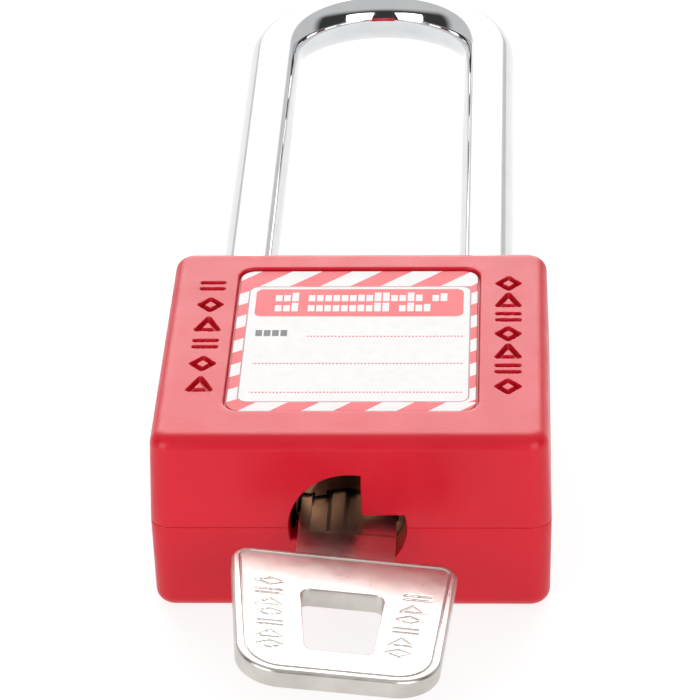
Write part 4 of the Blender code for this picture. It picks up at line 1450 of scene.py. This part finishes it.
def make_floor():
    """A plain pale light table: white acrylic that glows evenly, so that shadows on it stay faint."""
    material, nodes, links = empty_material("light_table")
    output = nodes.new("ShaderNodeOutputMaterial")
    output.label = "floor"
    acrylic = nodes.new("ShaderNodeBsdfDiffuse")
    acrylic.label = "pale matt acrylic"
    acrylic.inputs["Color"].default_value = (FLOOR_PAINT, FLOOR_PAINT, FLOOR_PAINT, 1)
    glow = nodes.new("ShaderNodeEmission")
    glow.label = "light from below"
    glow.inputs["Strength"].default_value = FLOOR_GLOW
    both = nodes.new("ShaderNodeAddShader")
    both.label = "lit from both sides"
    set_out((
        (None, (output, acrylic, glow, both)),
    ))
    links.new(acrylic.outputs["BSDF"], both.inputs[0])
    links.new(glow.outputs["Emission"], both.inputs[1])
    links.new(both.outputs["Shader"], output.inputs["Surface"])
    side = 4.0
    corners = [(-side, -side, 0), (side, -side, 0), (side, side, 0), (-side, side, 0)]
    floor = mesh_object("floor", corners, [(0, 1, 2, 3)], material)


def make_world():
    """A white room with a bright screen low behind the padlock and a dark side round the camera.

    The screen is a smooth step of the dot product between the direction looked in and the screen's. The
    dark side is the product of two smooth steps: one towards the front, one that ends high up.
    """
    world = bpy.data.worlds.new("studio")
    bpy.context.scene.world = world
    world.use_nodes = True
    tree = world.node_tree
    nodes, links = tree.nodes, tree.links
    nodes.clear()
    output = nodes.new("ShaderNodeOutputWorld")
    output.label = "room"
    light = nodes.new("ShaderNodeBackground")
    light.label = "room light"
    light.inputs["Color"].default_value = (1.0, 1.0, 1.0, 1)
    direction = nodes.new("ShaderNodeTexCoord")
    direction.label = "direction looked in"
    screen_frame = nodes.new("NodeFrame")
    screen_frame.label = "bright screen behind"
    screen_dot = nodes.new("ShaderNodeVectorMath")
    screen_dot.label = "towards the screen"
    screen_dot.operation = "DOT_PRODUCT"
    screen_dot.inputs[1].default_value = Vector((-0.05, 0.86, 0.51)).normalized()
    screen = nodes.new("ShaderNodeMapRange")
    screen.label = "screen's brightness"
    screen.interpolation_type = "SMOOTHSTEP"
    screen.inputs["From Min"].default_value = 0.80
    screen.inputs["From Max"].default_value = 0.96
    screen.inputs["To Min"].default_value = ROOM_LIGHT
    screen.inputs["To Max"].default_value = SCREEN_LIGHT
    dark_frame = nodes.new("NodeFrame")
    dark_frame.label = "dark side, round the camera"
    heading = nodes.new("ShaderNodeSeparateXYZ")
    heading.label = "forwards and upwards"
    front = nodes.new("ShaderNodeMapRange")
    front.label = "towards the front"
    front.interpolation_type = "SMOOTHSTEP"
    front.inputs["From Min"].default_value = 0.30
    front.inputs["From Max"].default_value = 0.0
    below_ceiling = nodes.new("ShaderNodeMapRange")
    below_ceiling.label = "below the ceiling"
    below_ceiling.interpolation_type = "SMOOTHSTEP"
    below_ceiling.inputs["From Min"].default_value = 0.84
    below_ceiling.inputs["From Max"].default_value = 0.62
    darkness = nodes.new("ShaderNodeMath")
    darkness.label = "both"
    darkness.operation = "MULTIPLY"
    kept = nodes.new("ShaderNodeMapRange")
    kept.label = "what is left there"
    kept.inputs["To Min"].default_value = 1.0
    kept.inputs["To Max"].default_value = DARK_SIDE
    strength = nodes.new("ShaderNodeMath")
    strength.label = "screen and dark side"
    strength.operation = "MULTIPLY"
    set_out((
        (None, (output, light, direction, strength)),
        (screen_frame, (screen_dot, screen)),
        (dark_frame, (heading, front, below_ceiling, darkness, kept)),
    ))
    links.new(direction.outputs["Generated"], screen_dot.inputs[0])
    links.new(direction.outputs["Generated"], heading.inputs["Vector"])
    links.new(screen_dot.outputs["Value"], screen.inputs["Value"])
    links.new(heading.outputs["Y"], front.inputs["Value"])
    links.new(heading.outputs["Z"], below_ceiling.inputs["Value"])
    links.new(front.outputs["Result"], darkness.inputs[0])
    links.new(below_ceiling.outputs["Result"], darkness.inputs[1])
    links.new(darkness.outputs["Value"], kept.inputs["Value"])
    links.new(screen.outputs["Result"], strength.inputs[0])
    links.new(kept.outputs["Result"], strength.inputs[1])
    links.new(strength.outputs["Value"], light.inputs["Strength"])
    links.new(light.outputs["Background"], output.inputs["Surface"])


def softbox(name, place, target, size, power):
    """A rectangular area light that faces its target."""
    data = bpy.data.lights.new(name, "AREA")
    data.shape = "RECTANGLE"
    data.size, data.size_y = size
    data.energy = power
    lamp = bpy.data.objects.new(name, data)
    bpy.context.scene.collection.objects.link(lamp)
    lamp.location = place
    lamp.rotation_euler = (Vector(place) - Vector(target)).to_track_quat("Z", "Y").to_euler()


def make_lights():
    """Two softboxes low on either side of the camera."""
    middle = (0, 0.02, 0.01)
    softbox("softbox_left", (-0.50, -0.58, 0.27), middle, (0.55, 0.55), SOFTBOX_POWER)
    softbox("softbox_right", (0.44, -0.62, 0.29), middle, (0.55, 0.55), SOFTBOX_POWER)


def main():
    red = moulded_plastic("red_plastic", (0.53, 0.003, 0.016), 0.34)
    # name, bright and dull tone, roughness, scale and stretch of the tool marks, and their height
    chrome, nickel, brass, steel, zinc = (
        worked_metal(*metal) for metal in (
            ("chrome_plate", (0.71, 0.715, 0.725), (0.67, 0.675, 0.685), 0.05, 900, (1, 0.05, 1), 0.02),
            ("nickel_plate", (0.62, 0.585, 0.555), (0.52, 0.485, 0.455), 0.30, 2600, (1, 1, 1), 0.35),
            ("brass", (0.26, 0.145, 0.085), (0.12, 0.065, 0.04), 0.30, 1500, (1, 1, 1), 0.3),
            ("steel", (0.58, 0.58, 0.59), (0.45, 0.45, 0.47), 0.22, 1800, (1, 0.2, 1), 0.2),
            ("die_cast_zinc", (0.50, 0.50, 0.52), (0.40, 0.40, 0.42), 0.48, 1300, (1, 1, 1), 0.5),
        )
    )

    bpy.context.scene.view_settings.view_transform = "Standard"
    make_camera()
    make_floor()
    make_world()
    make_lights()
    make_body(red)
    make_label(label_print())
    make_shackle(chrome)
    make_key(nickel)
    make_plug_face(brass)
    make_pin_springs(steel)

    carried = {
        "lock_case": zinc, "retaining_pin": steel, "cam": steel, "plug_clip": steel,
        "locking_ball_left": steel, "locking_ball_right": steel,
        "cylinder_housing": brass, "chamber_cover": brass,
    }
    for number in range(1, 7):
        carried[f"key_pin_{number}"] = brass
        carried[f"driver_pin_{number}"] = nickel
    for name, finish in carried.items():
        slots = frame["nodes"][name].data.materials
        slots.clear()
        slots.append(finish)


main()
